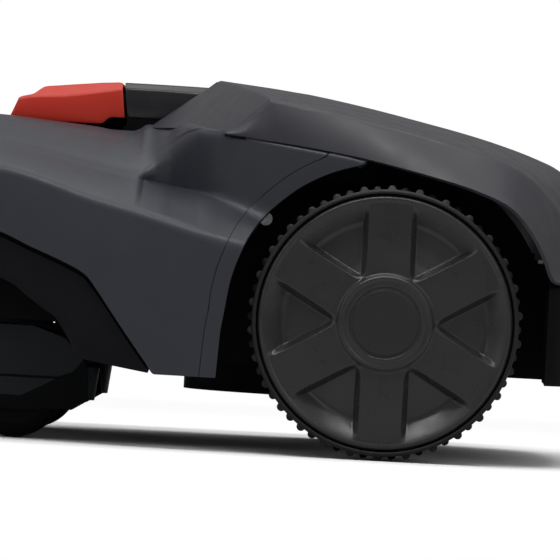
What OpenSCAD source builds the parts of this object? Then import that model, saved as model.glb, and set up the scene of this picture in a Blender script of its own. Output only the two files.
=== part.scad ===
// Robotic lawn mower: wheeled chassis with a floating body shell, two driven
// rear wheels, two swivel casters, a height-adjustable razor-blade disc and a
// control console under a hinged hatch. Millimetres, +X is forward, +Y is the
// mower's left, +Z is up. The origin is on the ground below the middle of the
// machine; the dimensions along X are counted from the drive axle.

/* [Drive wheels] */
// Diameter over the tread studs
wheel_d = 220; // [216:1:224]
// Distance from the middle plane to the outer face of a drive wheel
wheel_out = 278; // [276:1:282]
// Width of the drive tyre
tyre_w = 52; // [46:1:54]
// Number of studs in one tread row
studs = 30; // [24:2:36]
// Radius of the moulded hub cap
cap_r = 102; // [98:1:103]
// Width of the six spokes left standing between the hub cap's pockets
spoke_w = 33; // [28:1:35]

/* [Casters] */
// Diameter of a front caster wheel
caster_d = 78; // [72:1:80]
// Forward position of the caster pivot
caster_x = 314; // [308:1:318]
// Sideways position of the caster pivot
caster_y = 150; // [146:1:152]
// Distance the caster wheel trails behind its pivot
caster_trail = 16; // [12:1:18]

/* [Cutting unit] */
// Forward position of the cutting disc
disc_x = 36; // [30:1:40]
// Radius of the cutting disc
disc_r = 84; // [76:1:86]
// Height of the cutting disc above the ground at its highest setting
disc_z = 60; // [58:1:62]
// Radius of the guard ring around the blades
guard_r = 127; // [124:1:127]

/* [Body shell] */
// Wall thickness of the body shells
wall = 3; // [2.5:0.5:3.5]
// Radius of the wheel arch opening
arch_r = 128; // [126:1:130]
// Width of the arch trim strip
trim_w = 13; // [10:1:14]
// Nose of the shell, forward of the axle
nose_x = 540; // [536:2:544]

/* [Console] */
// Half width of the hatch and of the stop button
hatch_hw = 88; // [84:1:90]
// Width of each keypad key
key_w = 13; // [11:1:14]

/* [Hidden] */
$fn = 64;
wheel_r = wheel_d / 2;
axle_z = wheel_r;
tail_x = -180;
mid_x = (nose_x + tail_x) / 2;
overlap = 0.01;
gap = 0.05;               // clearance between parts that rest on each other

// chassis tray and deck
tray_x = -137;            // rear face
tray_hw = 150;            // half width beside the drive wheels
tray_front = 470;         // front face
tray_t = 3;               // wall and floor
tray_z = 70;              // underside
shelf_z = 97;             // underside of the wide upper part
shelf_top = shelf_z + 3;
guard_z = 45;             // lower edge of the guard ring
guard_top = guard_z + 43;
deck_z = 160;             // top edge of the tray
seal_t = 1.5;
deck_top = deck_z + seal_t + 3.5;
strap_x = 100;            // side screws through the wheel screens
strap_z = 190;
joystick_xs = [400, -60];
joystick_z = deck_z + 17; // joystick pivots
shaft_r = 8;              // drive shafts

// console
console_hw = 92;
console_top = 262;
knob_x = 122;             // height knob, lead screw and power rocker
screw_r = 6;              // lead screw
rocker_z = 255;           // pivot of the power rocker
hinge_x = 98;
hinge_z = 287;
key_xs = [206, 186, 166]; // up, ok, down
key_y = -32;
key_len = 34;
stop_x0 = 225;            // rear edge of the stop button
stop_x1 = 318;            // front edge
stem_x = 270;             // stem of the stop button
lid_t = 3;                // wall of the hatch and of the stop button

// colours shared by several nodes
shell_colour = [0.20, 0.21, 0.25];
tray_colour = [0.07, 0.07, 0.08];
gearbox_colour = [0.12, 0.12, 0.13];
motor_colour = [0.45, 0.45, 0.47];
steel = [0.6, 0.6, 0.62];
tyre_colour = [0.05, 0.05, 0.05];
hub_colour = [0.19, 0.19, 0.19];
centre_colour = [0.17, 0.17, 0.17];
fork_colour = [0.10, 0.12, 0.13];
caster_colour = [0.06, 0.06, 0.06];

// ---- helpers ---------------------------------------------------------------
// moves a node from axle coordinates to the middle of the machine
module placed() translate([-mid_x, 0, 0]) children();
module on_right() mirror([0, 1, 0]) children();
module both() {
    children();
    on_right() children();
}
module block(x0, x1, y0, y1, z0, z1)
    translate([x0, y0, z0]) cube([x1 - x0, y1 - y0, z1 - z0]);
// cylinder along Y from y0 to y1
module cyl_y(r, y0, y1, x, z)
    translate([x, y1, z]) rotate([90, 0, 0]) cylinder(r = r, h = y1 - y0);
// the same, around the drive axle
module axle_cyl(r, y0, y1) cyl_y(r, y0, y1, 0, axle_z);
// side profile in X and Z, extruded along Y
module side_profile(y0, y1)
    translate([0, y1, 0]) rotate([90, 0, 0]) linear_extrude(y1 - y0) children();
// end profile in Y and Z, extruded along X
module end_profile(x0, x1)
    translate([x0, 0, 0]) rotate([90, 0, 90]) linear_extrude(x1 - x0) children();
function flip(p) = [p[0], -p[1]];

// ---- nets ------------------------------------------------------------------
function unit(v) = v / max(norm(v), 1e-9);
// full net from a half net whose first point of each row is at y = 0
function full(half) = [for (row = half) concat(
    [for (j = [len(row) - 1 : -1 : 1]) [row[j][0], -row[j][1], row[j][2]]], row)];
// unit normal at point j of row i
function net_normal(net, i, j) = let(
    last_i = len(net) - 1,
    last_j = len(net[0]) - 1,
    along_i = net[min(i + 1, last_i)][j] - net[max(i - 1, 0)][j],
    along_j = net[i][min(j + 1, last_j)] - net[i][max(j - 1, 0)])
    unit(cross(along_i, along_j));
// thin closed shell: a net of outer points, thickened inwards by t
module net_shell(net, t) {
    rows = len(net);
    cols = len(net[0]);
    outer = [for (row = net, p = row) p];
    inner = [for (i = [0:rows-1], j = [0:cols-1]) net[i][j] - t * net_normal(net, i, j)];
    // point numbers in the outer and the inner skin
    function out(i, j) = i * cols + j;
    function inn(i, j) = rows * cols + out(i, j);
    quads = concat(
        [for (i = [0:rows-2], j = [0:cols-2])
            [out(i, j), out(i, j+1), out(i+1, j+1), out(i+1, j)]],
        [for (i = [0:rows-2], j = [0:cols-2])
            [inn(i, j), inn(i+1, j), inn(i+1, j+1), inn(i, j+1)]],
        [for (i = [0:rows-2]) [out(i, 0), out(i+1, 0), inn(i+1, 0), inn(i, 0)]],
        [for (i = [0:rows-2], j = [cols-1]) [out(i, j), inn(i, j), inn(i+1, j), out(i+1, j)]],
        [for (j = [0:cols-2]) [out(0, j), inn(0, j), inn(0, j+1), out(0, j+1)]],
        [for (j = [0:cols-2], i = [rows-1]) [out(i, j), out(i, j+1), inn(i, j+1), inn(i, j)]]);
    polyhedron(points = concat(outer, inner),
        faces = [for (q = quads, half = [[0, 1, 2], [0, 2, 3]]) [for (k = half) q[k]]]);
}

// ---- outline of the body shell ---------------------------------------------
// The shell has four lines running forwards: the ridge in the middle plane, the
// edge of the top, the crease of the side and the low rim. Tables are [x, y or z].
function top_z(x) = lookup(x, [[20, 231], [43, 238], [100, 246], [153, 254], [201, 258],
    [243, 260], [330, 266], [380, 262], [420, 250], [460, 230], [500, 198], [527, 165],
    [544, 133]]);
function edge_y(x) = lookup(x, [[20, 240], [43, 233], [100, 203], [153, 165], [201, 116],
    [330, 114], [405, 104], [475, 80], [527, 46], [544, 20]]);
function crease_y(x) = lookup(x, [[20, 260], [128, 261], [235, 252], [315, 238], [372, 219],
    [405, 203], [440, 182], [475, 152], [505, 116], [527, 76], [544, 30]]);
function crease_z(x) = lookup(x, [[20, 158], [117, 169], [128, 171], [184, 185], [235, 196],
    [315, 218], [372, 223], [405, 217], [440, 204], [475, 184], [505, 163], [527, 146],
    [544, 128]]);
function low_y(x) = lookup(x, [[20, 262], [182, 262], [239, 256], [315, 242], [372, 223],
    [405, 208], [440, 187], [475, 157], [505, 121], [527, 80], [544, 32]]);
function low_z(x) = lookup(x, [[20, 59], [182, 59], [203, 86], [220, 110], [239, 134],
    [261, 146], [286, 156], [312, 167], [340, 172], [372, 170], [405, 162], [440, 150],
    [475, 137], [505, 127], [527, 121], [544, 116]]);
// lower edge of the dark skirt
function skirt_z(x) = lookup(x, [[183, 59], [217, 64], [241, 68], [247, 71], [259, 93],
    [272, 105], [288, 116], [308, 129], [345, 136], [375, 122], [395, 96], [412, 78],
    [440, 72], [505, 74], [544, 82]]);

body_xs = [22, 50, 82, 112, 133, 153, 182, 203, 239, 261, 312, 340, 372, 405, 440, 475, 505,
    527, nose_x - 5];
body_half = concat(
    [for (x = body_xs) [
        [x, 0, top_z(x) + 2],
        [x, edge_y(x), top_z(x)],
        [x, crease_y(x), crease_z(x)],
        [x, low_y(x), low_z(x)]]],
    [[[nose_x, 0, 118], [nose_x, 12, 117.5], [nose_x, 24, 117], [nose_x, 36, 116.5]]]);

skirt_xs = [186, 203, 220, 239, 247, 261, 275, 290, 312, 340, 372, 392, 412, 440, 475, 505,
    527, nose_x - 5];
skirt_half = [for (x = skirt_xs)
    let(y = low_y(x) - (x < 200 ? 5.6 : 1.5),
        top = low_z(x) - 4,
        bottom = min(top - 2, skirt_z(x)))
    [[x, y, top], [x, y - 4, (top + bottom) / 2], [x, y - 12, bottom]]];
// left side, nose, right side
skirt_net = concat(
    skirt_half,
    [[[nose_x - 2, 0, 111], [nose_x - 4, 0, 97], [nose_x - 10, 0, 82]]],
    [for (i = [len(skirt_xs) - 1 : -1 : 0]) [for (p = skirt_half[i]) [p[0], -p[1], p[2]]]]);

// rear cover: ridge, top edge, crease and lower edge of each station, from the
// tail forwards to the foot of the front ramp
cover_half = [
    [[tail_x, 0, 156], [tail_x, 90, 155], [-172, 140, 151], [-165, 185, 148.5]],
    [[-179, 0, 184], [-178, 91, 182], [-168, 152, 160], [-158, 206, 149]],
    [[-172, 0, 211], [-171, 92, 208], [-158, 170, 177], [-148, 229, 149.5]],
    [[-159, 0, 232], [-158, 94, 230], [-143, 188, 197], [-132, 248, 152]],
    [[-142, 0, 246], [-142, 95, 244], [-130, 201, 215], [-125, 256, 170]],
    [[-128, 0, 253], [-128, 96, 251.5], [-117, 210, 229], [-112, 260, 191]],
    [[-105, 0, 261], [-105, 97, 259], [-98, 216, 240.5], [-94, 261, 208]],
    [[-75, 0, 269], [-75, 98, 267], [-70, 221, 251], [-68, 260, 219.5]],
    [[-32, 0, 279], [-32, 99, 277], [-30, 224, 261.5], [-32, 257, 229]],
    [[27, 0, 291], [27, 100, 289], [20, 225, 272], [19, 251, 240]],
    [[84, 0, 299], [84, 100, 297], [62, 225, 280], [60, 247, 246.5]],
    [[142, 0, 305], [142, 101, 304], [98, 225, 285], [90, 241, 250]],
    [[201, 0, 264], [201, 112, 263], [150, 200, 258], [133, 229, 255]]];

// wheel arch seen from the side, around the axle; knee and head are the
// distances its front edge stands beyond the radius at those two corners
module arch_outline(r, knee, head) {
    circle(r = r);
    polygon([[0, -axle_z], [r + 5, -axle_z], [r + 5, -50], [r + knee, -13],
        [r + head, 23], [0, 23]]);
}
module side_cut(y0, y1)
    translate([0, y1, axle_z]) rotate([90, 0, 0]) linear_extrude(y1 - y0) children();
module wheel_opening() side_cut(188, 300) arch_outline(arch_r, knee = 3, head = -2.2);
module trim_seam(clearance)
    side_cut(187, 301) arch_outline(arch_r + trim_w + clearance, knee = 2.5, head = -3);
module console_notch() block(72, 337, -106, 106, 150, 340);

// ---- floating body shell ---------------------------------------------------
module front_shell() placed() color(shell_colour) difference() {
    net_shell(full(body_half), wall);
    console_notch();
    both() trim_seam(0.6);
}
module arch_trim() intersection() {
    difference() {
        net_shell(full(body_half), wall);
        wheel_opening();
    }
    trim_seam(0);
    block(0, 200, 187, 300, 40, 270);
}
module arch_trim_left() placed() color(shell_colour) arch_trim();
module arch_trim_right() placed() color(shell_colour) on_right() arch_trim();
module rear_cover() placed() color([0.22, 0.22, 0.25]) difference() {
    net_shell(full(cover_half), wall);
    console_notch();
}
module lower_skirt() placed() color([0.08, 0.08, 0.10]) net_shell(skirt_net, wall);

// left half of the bumper outline, from the side to the middle of the tail
function bumper_half(inset) = [[-131, 244 - inset], [-148, 226 - inset],
    [-160 + inset, 200 - inset], [-170 + inset, 160], [-177 + inset, 95],
    [-178.5 + inset, 0]];
module rear_bumper() placed() color([0.16, 0.16, 0.18]) {
    outer = bumper_half(0);
    inner = bumper_half(4);
    translate([0, 0, 66]) linear_extrude(79.4) polygon(concat(
        outer,
        [for (i = [4:-1:0]) flip(outer[i])],
        [for (i = [0:5]) flip(inner[i])],
        [for (i = [4:-1:0]) inner[i]]));
}

// cup open at the bottom, above a joystick
module socket(x, z0, z1) translate([x, 0, 0]) difference() {
    translate([0, 0, z0]) cylinder(r = 12, h = z1 - z0);
    translate([0, 0, z0 - 1]) cylinder(r = 7, h = z1 - z0 - 5);
}
module shell_sockets() placed() color([0.1, 0.1, 0.1]) {
    socket(joystick_xs[0], 222, 250);
    socket(joystick_xs[1], 236, 266);
}

// ---- chassis ---------------------------------------------------------------
// outline of the upper tray and the deck, moved inwards by inset
function tray_half(inset) = [[tray_x + inset, tray_hw - inset],
    [170 + inset * 0.4, tray_hw - inset], [215 + inset * 0.4, 200 - inset],
    [400 - inset * 0.4, 192 - inset], [tray_front - inset, 120 - inset * 0.4]];
function tray_outline(inset) = concat(tray_half(inset),
    [for (i = [4:-1:0]) flip(tray_half(inset)[i])]);
deck_inset = 0.5;
// x and y of the deck screws on the left side
deck_screw_places = [[-128, 142.5], [150, 142.5], [232, 190], [452, 112]];
module at_deck_screws()
    for (p = deck_screw_places, side = [1, -1]) translate([p[0], side * p[1], 0]) children();
// feet of the wheel screens
module at_feet() both() for (x = [-78, 62]) translate([x, 140, 0]) children();
module at_casters() both() translate([caster_x, caster_y, 0]) children();

module chassis_tray() placed() color(tray_colour) difference() {
    union() {
        difference() {
            union() {
                block(tray_x, 222, -tray_hw, tray_hw, tray_z, 98);
                translate([0, 0, shelf_z]) linear_extrude(deck_z - shelf_z)
                    polygon(tray_outline(0));
            }
            block(tray_x + tray_t, 222 - tray_t, tray_t - tray_hw, tray_hw - tray_t,
                tray_z + tray_t, shelf_top);
            translate([0, 0, shelf_top - overlap]) linear_extrude(70)
                polygon(tray_outline(tray_t));
        }
        // guard ring
        translate([disc_x, 0, guard_z]) cylinder(r = guard_r, h = guard_top - guard_z);
        // caster flanges and pivot housings
        at_casters() translate([0, 0, 94]) cylinder(r = 44, h = 4);
        at_casters() translate([0, 0, 97]) cylinder(r = 19, h = 54);
        at_deck_screws() translate([0, 0, 98]) cylinder(r = 6, h = deck_z - 98);
    }
    // inside of the guard ring and passage for the cutter carrier
    translate([disc_x, 0, 40]) cylinder(r = guard_r - 3, h = 44);
    translate([disc_x, 0, 80]) cylinder(r = 41, h = 20);
    // seats of the caster bushes
    at_casters() translate([0, 0, 90]) cylinder(r = 14, h = 70);
    at_casters() translate([0, 0, 90]) cylinder(r = 19.1, h = 6.95);
    // holes for the drive motors
    both() axle_cyl(21.5, 140, 155);
    at_deck_screws() translate([0, 0, 140]) cylinder(r = 2, h = 30);
}
module deck_gasket() placed() color([0.05, 0.05, 0.05])
    translate([0, 0, deck_z]) linear_extrude(seal_t) difference() {
        polygon(tray_outline(deck_inset));
        polygon(tray_outline(tray_t));
    }
module chassis_deck() placed() color([0.09, 0.09, 0.10]) difference() {
    union() {
        translate([0, 0, deck_z + seal_t]) linear_extrude(3.5)
            polygon(tray_outline(deck_inset));
        // joystick ears
        for (x = joystick_xs, side = [1, -1]) translate([x, side * 13.5, 0]) {
            block(-8, 8, -2.5, 2.5, deck_top - 1, joystick_z);
            cyl_y(8, -2.5, 2.5, 0, joystick_z);
        }
        // four round pads
        for (x = [345, -110], y = [90, -90])
            translate([x, y, deck_top - 1]) cylinder(r = 16, h = 10);
        // posts for the wheel screens
        both() block(strap_x - 7, strap_x + 7, 135, 145.9, deck_top - 1, 200);
    }
    for (x = joystick_xs) cyl_y(3.05, -20, 20, x, joystick_z);
    at_deck_screws() translate([0, 0, deck_z]) cylinder(r = 2.1, h = 10);
    at_feet() translate([0, 0, deck_z]) cylinder(r = 2.1, h = 10);
    both() cyl_y(2, 130, 150, strap_x, strap_z);
    translate([knob_x, 0, deck_z]) cylinder(r = screw_r + gap, h = 10);
    // four holes under the console
    for (x = [100, 304], y = [70, -70]) translate([x, y, deck_z]) cylinder(r = 2, h = 10);
}
// screens between the drive wheels and the works, standing on the deck
module wheel_screens() placed() color(tray_colour) difference() {
    both() {
        intersection() {
            axle_cyl(arch_r + 8, 146, 149);
            block(-140, 118, 140, 150, deck_top + gap, 300);
        }
        block(-104, 88, 133, 147, deck_top + gap, deck_top + 3);
    }
    both() block(10, 140, 140, 155, 224.5, 300);
    at_feet() translate([0, 0, deck_z]) cylinder(r = 2.1, h = 20);
    both() cyl_y(2.1, 140, 155, strap_x, strap_z);
}
// shanks and heads of the screws in the deck, the screen feet and the posts
module deck_screws() placed() color([0.5, 0.5, 0.52]) {
    at_deck_screws() {
        translate([0, 0, 148]) cylinder(r = 1.98, h = 17.2);
        translate([0, 0, deck_top + gap]) cylinder(r = 4.5, h = 3, $fn = 6);
    }
    at_feet() {
        translate([0, 0, 157]) cylinder(r = 1.98, h = 12);
        translate([0, 0, deck_top + 3 + gap]) cylinder(r = 4, h = 2.6, $fn = 6);
    }
    both() {
        cyl_y(1.98, 136, 150, strap_x, strap_z);
        cyl_y(5.5, 149 + gap, 152.4, strap_x, strap_z);
    }
}
// battery with a small block on its front face
module battery_pack() placed() color([0.15, 0.22, 0.35]) {
    block(-126, -16, -55, 55, 89, 149);
    block(-20, -12, 40, 52, 100, 112);
}
// board with three components, on four standoffs
module main_board() placed() color([0.05, 0.30, 0.12]) union() {
    block(140, 212, -90, 90, 90, 92);
    block(150, 176, -30, 0, 91.5, 97);
    block(150, 190, 30, 70, 91.5, 104);
    block(185, 205, -70, -30, 91.5, 100);
    for (x = [146, 206], y = [-84, 84])
        translate([x, y, tray_z + tray_t + gap]) cylinder(r = 3, h = 17);
}
// stepped housing with four lugs
gearbox_y = tray_hw + 0.1;
module gearbox() difference() {
    union() {
        axle_cyl(48, gearbox_y, 176);
        axle_cyl(40, 175, 200);
        axle_cyl(20, 199, 212);
        for (a = [45 : 90 : 315])
            translate([0, 0, axle_z]) rotate([0, a, 0]) cyl_y(7, gearbox_y, 162, 48, 0);
    }
    axle_cyl(shaft_r + gap, 168, 213);
}
module gearbox_left() placed() color(gearbox_colour) gearbox();
module gearbox_right() placed() color(gearbox_colour) on_right() gearbox();
module drive_motor() {
    axle_cyl(21, 84, tray_hw);
    axle_cyl(14, 78, 84.5);
}
module drive_motor_left() placed() color(motor_colour) drive_motor();
module drive_motor_right() placed() color(motor_colour) on_right() drive_motor();
module caster_bushes() placed() color([0.8, 0.78, 0.7]) at_casters() difference() {
    union() {
        translate([0, 0, 94]) cylinder(r = 19, h = 2.9);
        translate([0, 0, 96]) cylinder(r = 13.98, h = 54);
    }
    translate([0, 0, 90]) cylinder(r = 9.05, h = 62);
}
module charge_contacts() placed() color([0.8, 0.65, 0.3])
    both() block(tray_front + gap, tray_front + 3, 28, 46, 106, 142);
module loop_sensor() placed() color([0.1, 0.1, 0.12]) translate([430, 0, shelf_top + gap]) {
    cylinder(r = 14, h = 22);
    cylinder(r = 20, h = 4);
}
module radio_module() placed() color([0.05, 0.25, 0.3]) {
    block(340, 385, -30, 30, shelf_top + gap, 106);
    translate([362, 0, 105]) cylinder(r = 4, h = 40);
}
// cable running forwards, thinner towards its round front end
module cable_harness() placed() color([0.08, 0.08, 0.08]) translate([0, 46, 108]) {
    translate([-11.9, 0, 0]) rotate([0, 90, 0]) cylinder(r = 3, h = 167);
    translate([155, 0, 0]) rotate([0, 90, 0]) cylinder(r = 2, h = 150);
    translate([305, 0, 0]) sphere(r = 4);
}
module carrier_seal() placed() color([0.1, 0.1, 0.1])
    translate([disc_x, 0, guard_top + gap]) difference() {
        cylinder(r = 47, h = 3);
        translate([0, 0, -1]) cylinder(r = 38.4, h = 6);
    }

// ---- control console -------------------------------------------------------
// moves to the rear right corner of key n, widened by a margin
module at_key(n, margin, z)
    translate([key_xs[n] - key_w / 2 - margin, key_y - key_len / 2 - margin, z]) children();

module control_console() placed() color([0.06, 0.06, 0.07]) difference() {
    union() {
        block(88, 223, -console_hw, console_hw, deck_top + 0.1, console_top);
        block(222, 322, -console_hw, console_hw, deck_top + 0.1, 259);
        // low and high side rims, rear rim
        both() block(108, 220, console_hw - 10, console_hw, 261, 268.5);
        both() block(88, 109, console_hw - 10, console_hw, 261, 278);
        block(88, 92, -console_hw, console_hw, 261, 278);
        // bearings of the power rocker
        for (y = [39.5, 66.5]) block(115, 129, y, y + 4, 250, 259);
        // hinge ears
        both() side_profile(62, 66)
            polygon([[92.5, 255], [110, 255], [104, 290], [102, 291], [95, 291], [92.8, 288]]);
    }
    // hollow inside
    block(91, 220, -89, 89, 160, 258.5);
    block(219, 319, -89, 89, 160, 255.4);
    // openings for the keys, the display and the rocker
    for (n = [0:2]) at_key(n, 0.6, 250) cube([key_w + 1.2, key_len + 1.2, 20]);
    block(150, 214, 6, 74, 260, 270);
    block(110, 134, 44, 66, 250, 270);
    cyl_y(3.05, 42, 68, knob_x, rocker_z);
    translate([knob_x, 0, 250]) cylinder(r = screw_r + gap, h = 20);
    translate([stem_x, 0, 250]) cylinder(r = 7.05, h = 20);
    cyl_y(2.0, -90, 90, hinge_x, hinge_z);
}
// pane with a sunken window
module display_lens() placed() color([0.10, 0.16, 0.20]) difference() {
    block(150.1, 213.9, 6.1, 73.9, 260 + gap, 262.8);
    block(156, 208, 12, 68, 262.4, 264);
}
// switch body with its plunger and two side straps
module stop_switch() placed() color([0.75, 0.1, 0.1]) {
    block(stem_x - 12, stem_x + 12, -10, 10, 228, 243);
    translate([stem_x, 0, 242]) cylinder(r = 3, h = 4);
    both() block(stem_x - 8, stem_x + 8, 10, 14, 232, 255.35);
}
module hatch_pin() placed() color([0.7, 0.7, 0.72]) cyl_y(1.98, -70, 70, hinge_x, hinge_z);
// key with a wider flange below
module key_cap(n) color([0.35, 0.36, 0.38]) {
    at_key(n, 0, 257) cube([key_w, key_len, 8]);
    at_key(n, 2, 255.6) cube([key_w + 4, key_len + 4, 1.6]);
}
module key_up() placed() key_cap(0);
module key_ok() placed() key_cap(1);
module key_down() placed() key_cap(2);
module power_rocker() placed() color([0.6, 0.1, 0.1]) union() {
    side_profile(45, 65) polygon([[112, 257], [117, 252], [127, 252], [132, 257],
        [132, 262], [122, 264.5], [112, 267]]);
    cyl_y(3, 42.2, 67.8, knob_x, rocker_z);
}

// end view shared by the hatch and the stop button, with chamfered upper edges
module lid_end(side_z, top, chamfer)
    polygon([[-hatch_hw, 260], [-hatch_hw, side_z], [-hatch_hw + chamfer, top],
        [hatch_hw - chamfer, top], [hatch_hw, side_z], [hatch_hw, 260]]);
module hatch_lid() placed() color([0.11, 0.11, 0.12]) difference() {
    intersection() {
        side_profile(-hatch_hw, hatch_hw) polygon([[91, 284.4], [109, 284.4], [109, 269],
            [219.4, 269], [222.7, 298.5], [160, 298.5], [110, 297], [96, 295], [91, 291]]);
        end_profile(80, 230) lid_end(side_z = 291, top = 299, chamfer = 9);
    }
    // hollow, leaving two hinge knuckles
    difference() {
        union() {
            block(94, 216.5, -hatch_hw + lid_t, hatch_hw - lid_t, 280, 293);
            block(105, 216.5, -hatch_hw + lid_t, hatch_hw - lid_t, 262, 281);
        }
        for (y = [-58, 46]) cyl_y(5, y, y + 12, hinge_x, hinge_z);
        for (y = [-58, 46]) block(93, 103, y, y + 12, hinge_z, 294);
    }
    // slots for the hinge ears
    both() block(80, 109, 60, 68.5, 278, 293);
    cyl_y(2.06, -90, 90, hinge_x, hinge_z);
}
module stop_button() placed() color([0.85, 0.22, 0.15]) union() {
    difference() {
        intersection() {
            side_profile(-hatch_hw, hatch_hw) polygon([[stop_x0 - 4, 269], [237, 269],
                [243, 263.2], [stop_x1, 263.2], [312, 282], [300, 285.5], [291, 292.5],
                [266, 295.5], [244, 298], [stop_x0 + 1, 299], [stop_x0, 296]]);
            end_profile(200, 340) lid_end(side_z = 286, top = 300, chamfer = 11);
        }
        block(stop_x0 + 3.5, 309, -hatch_hw + lid_t, hatch_hw - lid_t, 255, 281);
    }
    translate([stem_x, 0, 250.2]) cylinder(r = 7, h = 32);
}

// ---- height adjustment and cutting unit ------------------------------------
module height_knob() placed() color([0.75, 0.35, 0.1]) translate([knob_x, 0, 0]) difference() {
    union() {
        translate([0, 0, 263]) cylinder(r = 19, h = 4);
        translate([0, 0, 266]) cylinder(r = 16, h = 12);
        // grip ribs
        for (a = [0 : 30 : 330])
            translate([0, 0, 266]) rotate([0, 0, a]) translate([16, 0, 0])
                cylinder(r = 2, h = 12);
    }
    translate([0, 0, 262]) cylinder(r = screw_r + 0.02, h = 11.5);
}
module lead_screw() placed() color(steel) translate([knob_x, 0, 0]) {
    translate([0, 0, 90]) cylinder(r = screw_r, h = 183);
    translate([0, 0, 166]) cylinder(r = 10, h = 3);
}
// motor cup with an arm forward to the lead screw
module cutter_carrier() placed() color([0.16, 0.16, 0.17]) difference() {
    union() {
        translate([disc_x, 0, 66]) cylinder(r = 38, h = 84);
        block(disc_x + 30, knob_x + 12, -11, 11, 132, 148);
    }
    translate([disc_x, 0, 70]) cylinder(r = 30.5, h = 90);
    translate([disc_x, 0, 60]) cylinder(r = 8.05, h = 20);
    translate([knob_x, 0, 120]) cylinder(r = screw_r + gap, h = 40);
}
module blade_motor() placed() color([0.55, 0.55, 0.57]) translate([disc_x, 0, 72]) {
    cylinder(r = 30, h = 60);
    translate([0, 0, 59]) cylinder(r = 22, h = 12);
}
// the origin of the parts below is the disc's axis at the height of its top face
module at_disc() translate([disc_x, 0, disc_z]) children();
blade_pivot_r = disc_r - 13;
module at_blade(n) rotate([0, 0, n * 120]) translate([blade_pivot_r, 0, 0]) children();
module blade_disc() placed() color([0.25, 0.25, 0.27]) at_disc() difference() {
    union() {
        translate([0, 0, -3]) cylinder(r = disc_r, h = 3);
        // raised centre, upper hub and lower stub
        translate([0, 0, -1]) cylinder(r = 20, h = 4);
        cylinder(r = 8, h = 11.5);
        translate([0, 0, -10]) cylinder(r = 4, h = 9);
    }
    for (n = [0:2]) at_blade(n) translate([0, 0, -10]) cylinder(r = 2.5, h = 20);
    // round openings between the blades
    for (a = [60 : 120 : 300])
        rotate([0, 0, a]) translate([48, 0, -10]) cylinder(r = 11, h = 20);
}
module blade_screws() placed() color([0.75, 0.75, 0.76]) at_disc()
    for (n = [0:2]) at_blade(n) {
        translate([0, 0, -6.6]) cylinder(r = 5, h = 1.8);
        translate([0, 0, -5]) cylinder(r = 2.48, h = 4.8);
    }
module blade(n) color([0.8, 0.8, 0.82]) at_disc() at_blade(n)
    translate([0, 0, -4.4]) linear_extrude(0.8) difference() {
        polygon([[-8, -9], [34, -9], [37, -6], [37, 6], [34, 9], [-8, 9]]);
        circle(r = 2.55);
    }
module blade_1() placed() blade(0);
module blade_2() placed() blade(1);
module blade_3() placed() blade(2);
module skid_plate() placed() color([0.12, 0.12, 0.13]) at_disc() difference() {
    union() {
        translate([0, 0, -10.5]) cylinder(r = 56, h = 2.6);
        translate([0, 0, -8.5]) cylinder(r = 12, h = 5);
    }
    translate([0, 0, -12]) cylinder(r = 4.05, h = 12);
}

// ---- drive wheels ----------------------------------------------------------
tyre_out = wheel_out - 3;
tyre_in = wheel_out - tyre_w;
tread_r = wheel_r - 3;    // tyre between the studs
// corners of one stud: angle from its middle, radius
stud_corners = [[-1.9, tread_r - 0.3], [-1.1, wheel_r], [1.1, wheel_r], [1.9, tread_r - 0.3]];
// one row of studs, turned by a given angle
function stud_row(turn) = [for (i = [0 : studs - 1], corner = stud_corners)
    let(a = i * 360 / studs + turn + corner[0])
    corner[1] * [cos(a), sin(a)]];
module tyre() difference() {
    translate([0, 0, axle_z]) rotate([-90, 0, 0]) {
        translate([0, 0, tyre_in + 2]) linear_extrude(20) polygon(stud_row(0));
        translate([0, 0, tyre_in + 28]) linear_extrude(18) polygon(stud_row(180 / studs));
        translate([0, 0, tyre_in]) cylinder(r = tread_r, h = tyre_out - tyre_in);
    }
    // bore and wider seat for the rim of the hub cap
    axle_cyl(cap_r - 5.9, tyre_in - 2, tyre_out - 8.9);
    axle_cyl(cap_r + 0.6, tyre_out - 9, tyre_out + 3);
}
module tyre_left() placed() color(tyre_colour) tyre();
module tyre_right() placed() color(tyre_colour) on_right() tyre();
// corner of a pocket on the side of the spoke side = -1 or 1, t along that spoke
function spoke_side(t, side) = [t * cos(30) + spoke_w / 2 * sin(30),
    side * (t * sin(30) - spoke_w / 2 * cos(30))];
pocket_outline = concat(
    [spoke_side(38, -1), spoke_side(cap_r - 9, -1)],
    [for (a = [-16 : 8 : 16]) (cap_r - 7) * [cos(a), sin(a)]],
    [spoke_side(cap_r - 9, 1), spoke_side(38, 1)]);
module shaft_bore() axle_cyl(shaft_r + 0.02, 200, tyre_out - 12);
module hub_dish() difference() {
    union() {
        axle_cyl(cap_r, tyre_out - 8.9, tyre_out - 1);
        axle_cyl(cap_r - 6, tyre_in + 2, tyre_out - 8);
        axle_cyl(36, tyre_out - 2, tyre_out + 2.6);
        axle_cyl(20, 216, tyre_in + 4);
    }
    // hollow inner side
    axle_cyl(cap_r - 12, tyre_in + 1, tyre_out - 18);
    // six pockets
    translate([0, 0, axle_z]) for (a = [0 : 60 : 300]) rotate([0, a, 0])
        translate([0, tyre_out + 2, 0]) rotate([90, 0, 0]) linear_extrude(10)
            polygon(pocket_outline);
    // recess for the centre cap
    axle_cyl(27.1, tyre_out + 0.5, tyre_out + 9);
    shaft_bore();
}
module hub_cap() difference() {
    union() {
        hub_dish();
        axle_cyl(20, 218, tyre_out - 17);
    }
    shaft_bore();
}
module hub_cap_left() placed() color(hub_colour) hub_cap();
module hub_cap_right() placed() color(hub_colour) on_right() hub_cap();
module centre_cap() axle_cyl(27, tyre_out + 0.6, tyre_out + 2.9);
module centre_cap_left() placed() color(centre_colour) centre_cap();
module centre_cap_right() placed() color(centre_colour) on_right() centre_cap();
module drive_shaft() axle_cyl(shaft_r, 170, tyre_out - 12.1);
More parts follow.
